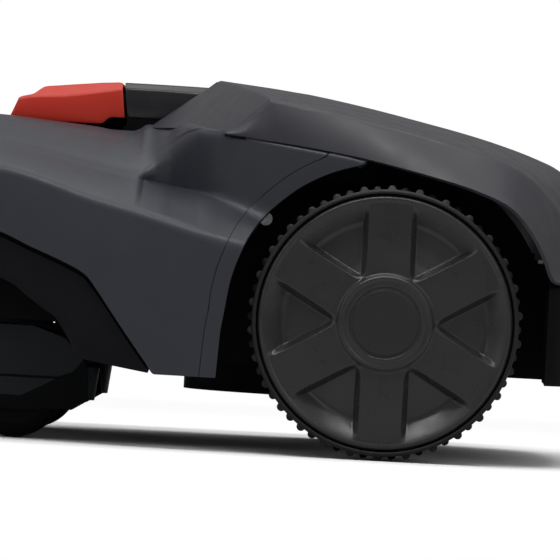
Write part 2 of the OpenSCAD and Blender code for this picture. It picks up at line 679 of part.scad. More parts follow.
module drive_shaft_left() placed() color(steel) drive_shaft();
module drive_shaft_right() placed() color(steel) on_right() drive_shaft();

// ---- casters ---------------------------------------------------------------
caster_wheel_x = caster_x - caster_trail;
caster_r = caster_d / 2;
// side view of the fork: x, z
fork_outline = [[232, 33], [250, 24.5], [262, 25], [293, 22], [320, 26], [345, 45],
    [352, 60], [346, 78], [330, 93], [285, 93], [258, 84], [236, 62], [229, 60]];
// section of the caster wheel: radius, distance along its axle
caster_section = [[4.04, -22], [14, -22], [16, -20], [28, -20], [34, -18], [38, -13],
    [caster_r, -7], [caster_r, 7], [38, 13], [34, 18], [28, 20], [16, 20], [14, 22],
    [4.04, 22]];
module caster_fork() translate([0, caster_y, 0]) difference() {
    union() {
        // the fork is narrower at the rear
        intersection() {
            side_profile(-30, 30) polygon(fork_outline);
            union() {
                block(258, 360, -30, 30, 0, 100);
                block(220, 259, -20, 20, 0, 100);
            }
        }
        translate([caster_x, 0, 92]) cylinder(r = 9, h = 56);
    }
    // room for the wheel
    cyl_y(caster_r + 4, -24.5, 24.5, caster_wheel_x, caster_r);
    block(caster_wheel_x - caster_r - 4, caster_wheel_x + caster_r + 4, -24.5, 24.5,
        10, caster_r);
    cyl_y(4.0, -31, 28.5, caster_wheel_x, caster_r);
}
module caster_fork_left() placed() color(fork_colour) caster_fork();
module caster_fork_right() placed() color(fork_colour) on_right() caster_fork();
module caster_axle() cyl_y(3.98, caster_y - 30, caster_y + 28.4, caster_wheel_x, caster_r);
module caster_axle_left() placed() color(steel) caster_axle();
module caster_axle_right() placed() color(steel) on_right() caster_axle();
module caster_wheel() translate([caster_wheel_x, caster_y, caster_r]) rotate([90, 0, 0])
    rotate_extrude($fn = 96) polygon(caster_section);
module caster_wheel_left() placed() color(caster_colour) caster_wheel();
module caster_wheel_right() placed() color(caster_colour) on_right() caster_wheel();

// ---- bump joysticks between chassis and shell ------------------------------
// pivot pin, barrel, and a stick of height h with a ball on top
module joystick(x, h) color([0.08, 0.08, 0.08]) translate([x, 0, joystick_z]) {
    cyl_y(3, -16, 16, 0, 0);
    cyl_y(7, -10.8, 10.8, 0, 0);
    cylinder(r = 4, h = h);
    translate([0, 0, h]) sphere(r = 5.5);
}
module joystick_front() placed() joystick(joystick_xs[0], 58);
module joystick_rear() placed() joystick(joystick_xs[1], 72);

chassis_tray();
chassis_deck();
deck_gasket();
wheel_screens();
battery_pack();
main_board();
gearbox_left();
gearbox_right();
drive_motor_left();
drive_motor_right();
control_console();
display_lens();
charge_contacts();
caster_bushes();
loop_sensor();
cable_harness();
deck_screws();
stop_switch();
carrier_seal();
hatch_pin();
radio_module();
front_shell();
rear_cover();
arch_trim_left();
arch_trim_right();
lower_skirt();
rear_bumper();
shell_sockets();
hatch_lid();
stop_button();
key_up();
key_down();
key_ok();
power_rocker();
height_knob();
lead_screw();
cutter_carrier();
blade_motor();
blade_disc();
blade_screws();
blade_1();
blade_2();
blade_3();
skid_plate();
tyre_left();
hub_cap_left();
centre_cap_left();
drive_shaft_left();
tyre_right();
hub_cap_right();
centre_cap_right();
drive_shaft_right();
caster_fork_left();
caster_axle_left();
caster_wheel_left();
caster_fork_right();
caster_axle_right();
caster_wheel_right();
joystick_front();
joystick_rear();
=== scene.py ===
"""A robot mower: detailed outer pieces and materials over its CAD pieces.

The nose points to +X, the left side is +Y and the floor lies just under Z = 0.
Lengths of the pieces are in millimetres with X counted from the drive axle;
to_frame() moves them into the shared frame, in metres.
"""
import math

import bmesh
import bpy
from mathutils import Euler, Matrix, Vector

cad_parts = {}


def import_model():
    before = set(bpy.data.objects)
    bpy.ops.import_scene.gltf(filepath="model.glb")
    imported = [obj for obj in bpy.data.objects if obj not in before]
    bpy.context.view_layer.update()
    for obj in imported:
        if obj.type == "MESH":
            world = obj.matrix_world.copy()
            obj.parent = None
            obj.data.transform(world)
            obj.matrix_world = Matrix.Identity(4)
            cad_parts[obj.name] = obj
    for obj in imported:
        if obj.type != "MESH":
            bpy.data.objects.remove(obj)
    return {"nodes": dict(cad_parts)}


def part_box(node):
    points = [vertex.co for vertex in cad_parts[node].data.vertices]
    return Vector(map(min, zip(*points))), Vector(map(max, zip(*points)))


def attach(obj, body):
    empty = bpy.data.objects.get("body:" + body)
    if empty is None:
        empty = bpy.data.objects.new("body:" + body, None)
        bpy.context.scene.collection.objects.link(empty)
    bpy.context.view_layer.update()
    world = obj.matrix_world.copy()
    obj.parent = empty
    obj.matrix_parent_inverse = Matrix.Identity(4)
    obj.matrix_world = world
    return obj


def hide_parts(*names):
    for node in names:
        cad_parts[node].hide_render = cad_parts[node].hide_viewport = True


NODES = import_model()["nodes"]
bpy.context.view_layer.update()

MM = 0.001
HUB_MIN, HUB_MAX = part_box("hub_cap_left")
AXLE_X = (HUB_MIN.x + HUB_MAX.x) / 2 * 1000.0
AXLE_Z = (HUB_MIN.z + HUB_MAX.z) / 2 * 1000.0
X_LIMITS = (-179.9, 539.9)      # no built piece reaches past these
UP = Vector((0, 0, 1))
SIDES = (("left", 1), ("right", -1))


def to_frame(x, y, z):
    return Vector(((x + AXLE_X) * MM, y * MM, z * MM))


# ---------------------------------------------------------------- materials
# Sockets of the Mix node, whose names repeat
MIX_FACTOR, MIX_A, MIX_B = 0, 2, 3
MIX_COLOR_A, MIX_COLOR_B, MIX_COLOR_OUT = 6, 7, 2


def new_material(name):
    """A material with an empty node tree."""
    material = bpy.data.materials.new(name)
    material.use_nodes = True
    material.node_tree.nodes.clear()
    return material, material.node_tree


def add_node(tree, kind, inputs=None, **settings):
    """Adds a node. An input given as a node or a socket is linked, any other value is set."""
    node = tree.nodes.new("ShaderNode" + kind)
    for key, value in settings.items():
        setattr(node, key, value)
    for key, value in (inputs or {}).items():
        if isinstance(value, bpy.types.Node):
            value = value.outputs[0]
        if isinstance(value, bpy.types.NodeSocket):
            tree.links.new(value, node.inputs[key])
        else:
            node.inputs[key].default_value = value
    return node


def map_range(tree, value, source=(0.0, 1.0), target=(0.0, 1.0)):
    return add_node(tree, "MapRange", {
        "Value": value, "From Min": source[0], "From Max": source[1],
        "To Min": target[0], "To Max": target[1]})


def noise(tree, vector, **values):
    return add_node(tree, "TexNoise", {"Vector": vector, **values})


def multiply(tree, a, b):
    return add_node(tree, "Math", {0: a, 1: b}, operation="MULTIPLY")


def mix_color(tree, factor, a, b):
    mix = add_node(tree, "Mix", {MIX_FACTOR: factor, MIX_COLOR_A: a, MIX_COLOR_B: b},
                   data_type="RGBA")
    return mix.outputs[MIX_COLOR_OUT]


def bump(tree, height, strength, distance, **inputs):
    return add_node(tree, "Bump", {"Height": height, "Strength": strength,
                                   "Distance": distance, **inputs})


def plastic(name, color, roughness, grain, tone, dust=0.05, edge=0.35, grain_scale=1800.0,
            edge_tint=None, specular=0.5, coat=0.0, metallic=0.0, scratches=0.0):
    """Grained surface. tone is the spread of its brightness, dust and edge the
    strength of the dust and of the worn edges."""
    material, tree = new_material(name)
    place = add_node(tree, "TexCoord").outputs["Object"]
    # broad tone variation
    broad = noise(tree, place, Scale=9.0, Detail=4.0)
    shade = map_range(tree, broad, source=(0.3, 0.7), target=(1.0 - tone, 1.0 + tone))
    base = add_node(tree, "RGB")
    base.outputs[0].default_value = (*color, 1)
    toned = add_node(tree, "VectorMath", {0: base, "Scale": shade}, operation="SCALE")
    # paler worn edges from the surface's own curvature
    geometry = add_node(tree, "NewGeometry")
    convex = map_range(tree, geometry.outputs["Pointiness"],
                       source=(0.515, 0.60), target=(0.0, edge))
    patches = noise(tree, place, Scale=60.0, Detail=6.0)
    wear = multiply(tree, convex, patches)
    tint = edge_tint or [min(1, c * 2.2 + 0.02) for c in color]
    worn = mix_color(tree, wear, toned, (*tint, 1))
    # light dust on upward faces
    normal = add_node(tree, "SeparateXYZ", {0: geometry.outputs["Normal"]})
    upward = map_range(tree, normal.outputs[2], source=(0.2, 1.0), target=(0.0, dust))
    specks = noise(tree, place, Scale=22.0, Detail=8.0, Roughness=0.7)
    dusty = mix_color(tree, multiply(tree, upward, specks), worn, (0.30, 0.29, 0.27, 1))
    rough = map_range(tree, patches, source=(0.25, 0.75),
                      target=(roughness - 0.08, roughness + 0.08))
    # moulded grain
    relief = bump(tree, noise(tree, place, Scale=grain_scale, Detail=2.0),
                  strength=grain, distance=0.00012)
    if scratches > 0:
        stretched = add_node(tree, "Mapping", {"Vector": place, "Scale": (30, 30, 900)})
        relief = bump(tree, noise(tree, stretched, Scale=3.0),
                      strength=scratches, distance=0.0001, Normal=relief)
    surface = add_node(tree, "BsdfPrincipled", {
        "Base Color": dusty, "Roughness": rough, "Normal": relief, "Metallic": metallic,
        "Specular IOR Level": specular, "Coat Weight": coat, "Coat Roughness": 0.12})
    add_node(tree, "OutputMaterial", {"Surface": surface})
    return material


MATERIALS = {
    "shell": plastic("shell_satin", (0.040, 0.043, 0.054), roughness=0.38, grain=0.20,
                     tone=0.05, dust=0.01, edge=0.2, specular=0.38),
    "cover": plastic("cover_satin", (0.042, 0.042, 0.051), roughness=0.38, grain=0.20,
                     tone=0.05, dust=0.01, edge=0.2, specular=0.38),
    "skirt": plastic("skirt_textured", (0.0098, 0.0095, 0.0125), roughness=0.5, grain=0.4,
                     tone=0.12, dust=0.0, edge=0.1, specular=0.10),
    "bumper": plastic("bumper_textured", (0.004, 0.004, 0.005), roughness=0.5, grain=0.5,
                      tone=0.1, dust=0.0, edge=0.1, specular=0.08),
    "chassis": plastic("chassis_black", (0.0035, 0.0035, 0.0045), roughness=0.55, grain=0.5,
                       tone=0.2, dust=0.01, edge=0.1, specular=0.08),
    "hub": plastic("hub_satin", (0.0245, 0.0245, 0.025), roughness=0.30, grain=0.22,
                   tone=0.02, dust=0.0, edge=0.2, specular=0.55),
    "cap": plastic("cap_satin", (0.030, 0.030, 0.0305), roughness=0.42, grain=0.3,
                   tone=0.05, dust=0.01, edge=0.15, specular=0.25),
    "tyre": plastic("tread_rubber", (0.010, 0.010, 0.0105), roughness=0.5, grain=0.7,
                    grain_scale=900, tone=0.25, dust=0.02, edge=0.5, specular=0.3),
    # darker copy of the fork's teal: painted shade on the fork frame's lower and inner faces
    "fork_shaded": plastic("caster_frame", (0.003, 0.0034, 0.0038), roughness=0.5, grain=0.4,
                         tone=0.12, dust=0.0, edge=0.15, specular=0.08),
    "fork": plastic("caster_satin", (0.019, 0.023, 0.0265), roughness=0.42, grain=0.35,
                    tone=0.12, dust=0.01, edge=0.2, specular=0.12),
    "caster": plastic("caster_rubber", (0.0045, 0.004, 0.0042), roughness=0.55, grain=0.6,
                      grain_scale=1100, tone=0.3, dust=0.03, edge=0.2, specular=0.10),
    "rubber": plastic("soft_rubber", (0.008, 0.008, 0.008), roughness=0.75, grain=0.6,
                      grain_scale=1100, tone=0.2, specular=0.15),
    "stop": plastic("stop_red", (0.66, 0.040, 0.022), roughness=0.40, grain=0.22,
                    tone=0.04, dust=0.0, edge=0.1, specular=0.35),
    "hatch": plastic("hatch_gloss", (0.024, 0.024, 0.027), roughness=0.24, grain=0.10,
                     tone=0.02, dust=0.0, coat=0.1, specular=0.35),
    "key": plastic("key_rubber", (0.16, 0.165, 0.17), roughness=0.6, grain=0.5, tone=0.08),
    "knob": plastic("knob_orange", (0.55, 0.14, 0.03), roughness=0.45, grain=0.4, tone=0.08),
    "switch": plastic("switch_red", (0.45, 0.02, 0.02), roughness=0.3, grain=0.15, tone=0.05),
    "battery": plastic("battery_case", (0.05, 0.08, 0.15), roughness=0.45, grain=0.4,
                       tone=0.1),
    "board": plastic("solder_mask", (0.012, 0.12, 0.045), roughness=0.32, grain=0.5,
                     grain_scale=500, tone=0.25, coat=0.3),
    "steel": plastic("turned_steel", (0.52, 0.52, 0.53), roughness=0.28, grain=0.1,
                     tone=0.08, metallic=1.0, scratches=0.5),
    "motor": plastic("zinc_steel", (0.40, 0.41, 0.43), roughness=0.38, grain=0.25,
                     grain_scale=500, tone=0.15, metallic=1.0, scratches=0.3),
    "disc": plastic("powder_coat", (0.035, 0.035, 0.038), roughness=0.5, grain=0.7,
                    grain_scale=1300, tone=0.15, edge=0.7, edge_tint=(0.35, 0.35, 0.36)),
    "blade": plastic("ground_steel", (0.62, 0.62, 0.63), roughness=0.24, grain=0.05,
                     tone=0.05, metallic=1.0, scratches=0.8),
    "brass": plastic("contact_brass", (0.72, 0.50, 0.20), roughness=0.28, grain=0.1,
                     tone=0.12, metallic=1.0, scratches=0.4),
    "bush": plastic("acetal", (0.52, 0.50, 0.43), roughness=0.45, grain=0.2, tone=0.06),
    "lens": plastic("display_lens", (0.016, 0.030, 0.036), roughness=0.10, grain=0.02,
                    tone=0.2, coat=0.8, dust=0.01),
}


# ---------------------------------------------------------------- curves
def smooth_curve(table):
    """Monotone cubic through a table of (x, value): smooth, with no overshoot."""
    xs = [float(x) for x, _ in table]
    ys = [float(y) for _, y in table]
    n = len(xs)
    width = [xs[i + 1] - xs[i] for i in range(n - 1)]
    rise = [(ys[i + 1] - ys[i]) / width[i] for i in range(n - 1)]
    slope = [0.0] * n
    slope[0], slope[-1] = rise[0], rise[-1]
    for i in range(1, n - 1):
        if rise[i - 1] * rise[i] > 0:
            w1 = 2 * width[i] + width[i - 1]
            w2 = width[i] + 2 * width[i - 1]
            slope[i] = (w1 + w2) / (w1 / rise[i - 1] + w2 / rise[i])

    def curve(x):
        if x <= xs[0]:
            return ys[0] + slope[0] * (x - xs[0])
        if x >= xs[-1]:
            return ys[-1] + slope[-1] * (x - xs[-1])
        k = 0
        while x > xs[k + 1]:
            k += 1
        t = (x - xs[k]) / width[k]
        t2, t3 = t * t, t * t * t
        return ((2 * t3 - 3 * t2 + 1) * ys[k] + (t3 - 2 * t2 + t) * width[k] * slope[k]
                + (-2 * t3 + 3 * t2) * ys[k + 1] + (t3 - t2) * width[k] * slope[k + 1])
    return curve


def straight_curve(table):
    """Straight lines through a table of (x, value), level beyond its ends."""
    def curve(x):
        if x <= table[0][0]:
            return table[0][1]
        for (a, b), (c, d) in zip(table, table[1:]):
            if x <= c:
                return b + (d - b) * (x - a) / (c - a)
        return table[-1][1]
    return curve


def smooth_step(a, b, x):
    t = max(0.0, min(1.0, (x - a) / (b - a)))
    return t * t * (3 - 2 * t)


def lerp(a, b, t):
    return a + (b - a) * t


def fillet(before, corner, after, reach_before, reach_after, steps):
    """Points round a corner, from reach_before ahead of it to reach_after past it."""
    u, w = before - corner, after - corner
    r1, r2 = min(reach_before, u.length * 0.45), min(reach_after, w.length * 0.45)
    p, q = corner + u.normalized() * r1, corner + w.normalized() * r2
    out = []
    for i in range(steps + 1):
        t = i / steps
        out.append(p * (1 - t) ** 2 + corner * 2 * t * (1 - t) + q * t * t)
    return out


def between(start, end, steps, bow=0.0, direction=UP):
    """Inner points of a line, bowed by up to bow along the direction."""
    out = []
    for i in range(1, steps):
        t = i / steps
        out.append(start.lerp(end, t) + direction * (bow * 4 * t * (1 - t)))
    return out


# ---------------------------------------------------------------- mesh tools
def skin(rows, closed):
    """bmesh of quads over equal rows of points, and its rows of vertices."""
    bm = bmesh.new()
    verts = [[bm.verts.new(p) for p in row] for row in rows]
    n = len(rows[0])
    for a, b in zip(verts, verts[1:]):
        for j in range(n if closed else n - 1):
            k = (j + 1) % n
            bm.faces.new([a[j], a[k], b[k], b[j]])
    return bm, verts


def grid(rows, closed=False):
    """Skin with coincident points merged."""
    bm, _ = skin(rows, closed)
    bmesh.ops.remove_doubles(bm, verts=bm.verts, dist=0.001)
    return bm


def ring_loft(rings):
    """Closed skin through equal closed rings of points, with flat ends."""
    bm, verts = skin(rings, closed=True)
    bm.faces.new(verts[0])
    bm.faces.new(verts[-1][::-1])
    bmesh.ops.recalc_face_normals(bm, faces=bm.faces)
    return bm


def prism(outline, y0, y1):
    """Solid with an (x, z) outline between two values of y."""
    return ring_loft([[Vector((x, y, z)) for x, z in outline] for y in (y0, y1)])


def upright_ring(cx, radius, z):
    return [Vector((cx + radius * math.cos(a * math.pi / 24),
                    radius * math.sin(a * math.pi / 24), z)) for a in range(48)]


def join(target, *parts):
    """Moves the parts into the target mesh."""
    for part in parts:
        copies = {v: target.verts.new(v.co) for v in part.verts}
        for face in part.faces:
            target.faces.new([copies[v] for v in face.verts])
        part.free()
    return target


SNAP = 0.22     # share of an edge within which its end is drawn onto the cut


def split_at_zero(bm, distance):
    """Cuts the mesh along distance = 0, so that the line becomes real edges."""
    value = {v: distance(v.co) for v in bm.verts}
    snapped = {}
    for edge in bm.edges:
        a, b = edge.verts
        if value[a] * value[b] >= 0:
            continue
        t = value[a] / (value[a] - value[b])
        vert, share = (a, t) if t < 0.5 else (b, 1 - t)
        if share < snapped.get(vert, (SNAP,))[0]:
            snapped[vert] = (share, a.co.lerp(b.co, t))
    for vert, (_, place) in snapped.items():
        vert.co = place
        value[vert] = 0.0
    on_line = {v for v in bm.verts if abs(value[v]) < 1e-6}
    for edge in list(bm.edges):
        a, b = edge.verts
        if a in on_line or b in on_line or value[a] * value[b] >= 0:
            continue
        _, vert = bmesh.utils.edge_split(edge, a, value[a] / (value[a] - value[b]))
        value[vert] = 0.0
        on_line.add(vert)
    for face in list(bm.faces):
        verts = list(face.verts)
        signs = [value[v] for v in verts if v not in on_line]
        if not signs or min(signs) * max(signs) >= 0:
            continue
        n = len(verts)
        crossing = [i for i, v in enumerate(verts) if v in on_line]
        chord = None
        for k, i in enumerate(crossing):
            for j in crossing[k + 1:]:
                if min(j - i, n - (j - i)) > 1:
                    chord = (verts[i], verts[j])
        if chord:
            try:
                bmesh.utils.face_split(face, *chord)
            except ValueError:
                # the face can't take this chord and stays whole
                pass


def drop_inside(bm, distance):
    """Removes the faces whose centre has a negative distance."""
    dead = [f for f in bm.faces if distance(f.calc_center_median()) < 0]
    bmesh.ops.delete(bm, geom=dead, context="FACES")


def cut_away(bm, distance):
    """Cuts off everything with a negative distance."""
    split_at_zero(bm, distance)
    drop_inside(bm, distance)


def add_mirror(bm):
    """Adds the mirror image across the middle plane."""
    copies = bmesh.ops.duplicate(bm, geom=bm.verts[:] + bm.edges[:] + bm.faces[:])["geom"]
    for item in copies:
        if isinstance(item, bmesh.types.BMVert):
            item.co.y = -item.co.y
    faces = [item for item in copies if isinstance(item, bmesh.types.BMFace)]
    bmesh.ops.reverse_faces(bm, faces=faces)
    bmesh.ops.remove_doubles(bm, verts=bm.verts, dist=0.01)


def place_on(side, bm):
    """Turns a left piece into a right one where the side asks for it."""
    if side == "right":
        for v in bm.verts:
            v.co.y = -v.co.y
        bmesh.ops.reverse_faces(bm, faces=bm.faces)
    return bm


def turn_towards(bm, probe, direction):
    """Turns all faces so that the one nearest the probe looks in the direction."""
    bm.normal_update()
    nearest = min(bm.faces, key=lambda f: (f.calc_center_median() - Vector(probe)).length)
    if nearest.normal.dot(Vector(direction)) < 0:
        bmesh.ops.reverse_faces(bm, faces=bm.faces)


def face_outward(bm, probe, direction):
    bmesh.ops.recalc_face_normals(bm, faces=bm.faces)
    turn_towards(bm, probe, direction)


def thicken(bm, wall):
    """Gives an open sheet a wall, inwards, with closed rims."""
    bmesh.ops.remove_doubles(bm, verts=bm.verts, dist=0.004)
    bmesh.ops.dissolve_degenerate(bm, dist=0.004, edges=bm.edges)
    bm.normal_update()
    faces = list(bm.faces)
    verts = [v for v in bm.verts if v.link_faces]
    rim_loops = [e.link_loops[0] for e in bm.edges if len(e.link_faces) == 1]
    rim = [(loop.vert, loop.link_loop_next.vert) for loop in rim_loops]
    inner = {v: bm.verts.new(v.co - v.normal * wall) for v in verts}
    for f in faces:
        bm.faces.new([inner[v] for v in reversed(f.verts)])
    for p, q in rim:
        bm.faces.new([q, p, inner[p], inner[q]])
    loose = [v for v in bm.verts if not v.link_faces]
    bmesh.ops.delete(bm, geom=loose, context="VERTS")
    bmesh.ops.recalc_face_normals(bm, faces=bm.faces)


def add_bevel(piece, width_mm, angle):
    modifier = piece.modifiers.new("bevel", "BEVEL")
    modifier.width = width_mm * MM
    modifier.segments = 2
    modifier.limit_method = "ANGLE"
    modifier.angle_limit = math.radians(angle)


def make(name, bm, material, body, replaces=None, bevel_mm=None, bevel_angle=50,
         weighted=True, smooth=True):
    """Turns a bmesh into a piece that rides on a body. Frees the bmesh."""
    bmesh.ops.remove_doubles(bm, verts=bm.verts, dist=0.002)
    for v in bm.verts:
        v.co.x = max(X_LIMITS[0], min(X_LIMITS[1], v.co.x))
        v.co = to_frame(*v.co)
    mesh = bpy.data.meshes.new(name)
    bm.to_mesh(mesh)
    bm.free()
    piece = bpy.data.objects.new(name, mesh)
    bpy.context.scene.collection.objects.link(piece)
    mesh.materials.append(MATERIALS[material])
    if smooth:
        for polygon in mesh.polygons:
            polygon.use_smooth = True
    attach(piece, body)
    if replaces:
        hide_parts(replaces)
    if bevel_mm:
        add_bevel(piece, bevel_mm, bevel_angle)
    if weighted:
        modifier = piece.modifiers.new("wn", "WEIGHTED_NORMAL")
        modifier.keep_sharp = True
        modifier.weight = 50


def hanging_wall(name, columns, wall, replaces):
    """Dark wall through (upper, lower) point pairs, mirrored onto the other side."""
    bm = bmesh.new()
    pairs = [[bm.verts.new(p) for p in column] for column in columns]
    for a, b in zip(pairs, pairs[1:]):
        bm.faces.new((a[0], b[0], b[1], a[1]))
    add_mirror(bm)
    thicken(bm, wall)
    make(name, bm, "chassis", "shell", replaces, weighted=False, smooth=False)


# ---------------------------------------------------------------- body shape
# All tables: (x, height or half width) along the body.
# height of the top surface
top_z = smooth_curve([
    (10, 228), (20, 232), (43, 238.5), (88, 246.5), (111, 250.5), (133, 254.6), (143, 256.1),
    (150, 257.0), (154, 258.0), (159, 260.3), (163, 261.8), (167, 262.5), (172, 262.2),
    (177, 260.4), (182, 259.2), (190, 259.8), (196, 261.2), (201, 262.4), (207, 258.8),
    (214, 256.4), (229, 256.4), (243, 258.2), (285, 261.4), (330, 264.2), (365, 264),
    (395, 259.2), (425, 249), (460, 230), (495, 203), (520, 175), (533, 154), (540, 138)])
# half width of the top surface
edge_y = smooth_curve([
    (10, 240), (60, 237), (90, 234), (111, 233), (131, 231), (138, 220), (150, 203),
    (170, 168), (186, 139), (201, 114), (243, 112), (330, 113), (405, 106), (475, 82),
    (515, 60), (533, 40), (540, 22)])
# the crease round the side
crease_y = smooth_curve([
    (10, 260.5), (128, 261), (184, 257), (235, 252), (315, 239), (372, 221), (405, 206),
    (440, 185), (475, 156), (505, 121), (524, 88), (535, 60), (540, 36)])
crease_z = smooth_curve([
    (10, 160), (117, 164.8), (128, 166.8), (150, 172.6), (184, 182.6), (235, 195.4),
    (315, 218), (355, 222), (390, 220), (420, 212), (455, 196), (490, 175), (520, 153),
    (535, 139), (540, 130)])
# the lower edge of the side panel
low_y = smooth_curve([
    (10, 262), (182, 262), (239, 256), (315, 243), (372, 225), (405, 210), (440, 189),
    (475, 160), (505, 125), (524, 92), (535, 63), (540, 40)])
LOWER_EDGE = [
    (10, 59), (182, 59), (190, 69), (203, 86), (220, 109), (231, 124), (239, 134), (246, 139),
    (261, 146), (286, 156), (312, 167), (340, 173), (365, 173.5), (390, 169), (415, 160),
    (445, 149), (475, 138), (505, 128), (527, 121.5), (540, 118)]
low_z = smooth_curve(LOWER_EDGE)
low_z_straight = straight_curve(LOWER_EDGE)
# under the rear cover the flank stands nearly upright: its upper edge, its foot,
# and the highest line it may reach
flank_y = smooth_curve([
    (10, 249), (60, 245), (90, 239), (108, 235.3), (125, 230.5), (140, 223), (150, 215),
    (160, 204.5), (170, 194), (180, 187), (190, 186), (200, 190.4), (204, 194), (208, 198.3)])
foot_z = smooth_curve([
    (10, 186), (60, 186), (90, 190), (121, 199), (154, 207), (180, 210.8), (203, 214.4),
    (208, 215.6)])
seam_z = smooth_curve([
    (-10, 232), (19, 238.5), (42, 242.5), (65, 245.5), (88, 248.5), (111, 251.2),
    (132, 254.2), (143, 255.3), (150, 256.0), (154, 257.2), (159, 259.6), (163, 261.0),
    (166, 261.7), (170, 261.8), (173, 261.2), (177, 259.6), (182, 258.3), (186, 258.2),
    (190, 258.9), (196, 260.6), (201, 263.2), (215, 272)])
FLANK_END = 208     # ahead of this x the side is a plain slope


def flank(x, shoulder, crease):
    """Upper and lower edge of the upright flank, or two points of the plain slope."""
    slope_upper, slope_lower = shoulder.lerp(crease, 0.60), shoulder.lerp(crease, 0.625)
    if x >= FLANK_END:
        return slope_upper, slope_lower
    z_edge = min(215.8 + (FLANK_END - x) * 0.765, seam_z(x) - 1.2)
    z_foot = foot_z(x)
    upper = Vector((x, flank_y(x), max(z_edge, z_foot + 0.3)))
    lower = Vector((x, upper.y - 0.2 * (upper.z - z_foot), z_foot))
    k = smooth_step(202, FLANK_END, x)
    return upper.lerp(slope_upper, k), lower.lerp(slope_lower, k)


def body_section(x):
    """Half section of the body at x, from the middle to the lower edge."""
    middle = Vector((x, 0, top_z(x) + 3.0))
    shoulder = Vector((x, edge_y(x), top_z(x) - 0.5))
    crease = Vector((x, crease_y(x), crease_z(x)))
    bottom = Vector((x, low_y(x), low_z(x)))
    upper, lower = flank(x, shoulder, crease)
    soft = lerp(4, 11, smooth_step(132, 160, x))
    hollow = lerp(16, 3, smooth_step(100, 165, x))
    at_shoulder = fillet(middle, shoulder, upper, 26, 22, 8)
    at_upper = fillet(shoulder, upper, lower, soft, soft, 6)
    at_lower = fillet(upper, lower, crease, hollow, hollow, 5)
    at_crease = fillet(lower, crease, bottom, 6.5, 6.5, 8)
    outward = Vector((0, 0.5, 0.85)).normalized()
    slope_bow = 0.8 + 0.6 * smooth_step(206, 240, x)
    points = [middle]
    points += between(middle, at_shoulder[0], 7, 1.2)
    points += at_shoulder
    points += between(at_shoulder[-1], at_upper[0], 12, 1.2, outward)
    points += at_upper
    points += between(at_upper[-1], at_lower[0], 9)
    points += at_lower
    points += between(at_lower[-1], at_crease[0], 10, slope_bow, outward)
    points += at_crease
    points += between(at_crease[-1], bottom, 14, 1.4, Vector((0, 1, 0)))
    points.append(bottom)
    return points


def body_rows():
    # stations lie closer together round the end of the flank and at the nose
    xs = [12 + 3.6 * i for i in range(122)]
    xs += [101.4 + 1.8 * i for i in range(66)]
    xs += [452 + (540 - 452) * math.sin(math.pi / 2 * i / 34) for i in range(35)]
    xs = sorted({round(x, 4) for x in xs})
    xs[-1] = 539.2
    rows = [body_section(x) for x in xs]
    # blunt round nose, given as (x, share of the last section's width)
    last = rows[-1]
    for x, k in ((539.4, 0.86), (539.6, 0.62), (539.7, 0.32), (539.75, 0.0)):
        rows.append([Vector((x, p.y * k, p.z)) for p in last])
    return rows


# ---------------------------------------------------------------- front shell and arch trims
OPENING_R = 128.0
TRIM_WIDTH = 13.0


def wheel_opening(radius, foot, knee, top):
    """Signed distance to a wheel opening, negative inside it. Its circle runs down into a
    nearly straight front leg, which lies foot, knee and top beyond the radius."""
    leg_x = straight_curve([(-50, radius + foot), (-13, radius + knee), (23, radius + top)])

    def distance(c):
        if abs(c.y) <= 188:
            return 50.0
        dz = c.z - AXLE_Z
        d = math.hypot(c.x, dz) - radius
        if dz < 23 and c.x > 0:
            d = min(d, c.x - leg_x(dz))
        return d
    return distance


inner_opening = wheel_opening(OPENING_R, foot=5, knee=3, top=-2.2)
outer_opening = wheel_opening(OPENING_R + TRIM_WIDTH, foot=5, knee=2.5, top=-3)


def console_opening(c):
    """Signed distance to the console opening, negative inside it."""
    x0, x1, half_width, corner = 72.0, 337.0, 106.0, 14.0
    if c.z <= 150:
        return 50.0
    qx = abs(c.x - (x0 + x1) / 2) - ((x1 - x0) / 2 - corner)
    qy = abs(c.y) - (half_width - corner)
    return math.hypot(max(qx, 0), max(qy, 0)) + min(max(qx, qy), 0) - corner


def build_front_shell(body):
    bm = body.copy()
    cut_away(bm, lambda c: outer_opening(c) - 0.5)
    cut_away(bm, console_opening)
    cut_away(bm, lambda c: c.x - 19.0 if abs(c.y) < 186 else 5.0)
    add_mirror(bm)
    thicken(bm, 3.0)
    make("front_shell", bm, "shell", "shell", "front_shell", bevel_mm=0.7)


def build_inner_walls():
    """A dark wall hangs from the shell's underside behind each wheel opening."""
    columns = []
    for i in range(13):
        x = 9.0 + 8.76 * i
        upper_z = top_z(x) - 2.6 if x > 19 else 240.0
        columns.append(((x, 186.5, upper_z), (x, 186.5, 223.0)))
    hanging_wall("front_shell_inner_walls", columns, 2.0, "front_shell")


def build_arch_trim(side, body):
    bm = body.copy()
    cut_away(bm, lambda c: -outer_opening(c) if abs(c.y) > 188.5 else -5.0)
    cut_away(bm, inner_opening)
    drop_inside(bm, lambda c: 1.0 if c.x > 0 and c.z > 40 and abs(c.y) > 189 else -1.0)
    place_on(side, bm)
    thicken(bm, 3.4)
    name = "arch_trim_" + side
    make(name, bm, "shell", "shell", name, bevel_mm=0.8)


body_mesh = grid(body_rows())
build_front_shell(body_mesh)
build_inner_walls()
for side, _ in SIDES:
    build_arch_trim(side, body_mesh)
body_mesh.free()

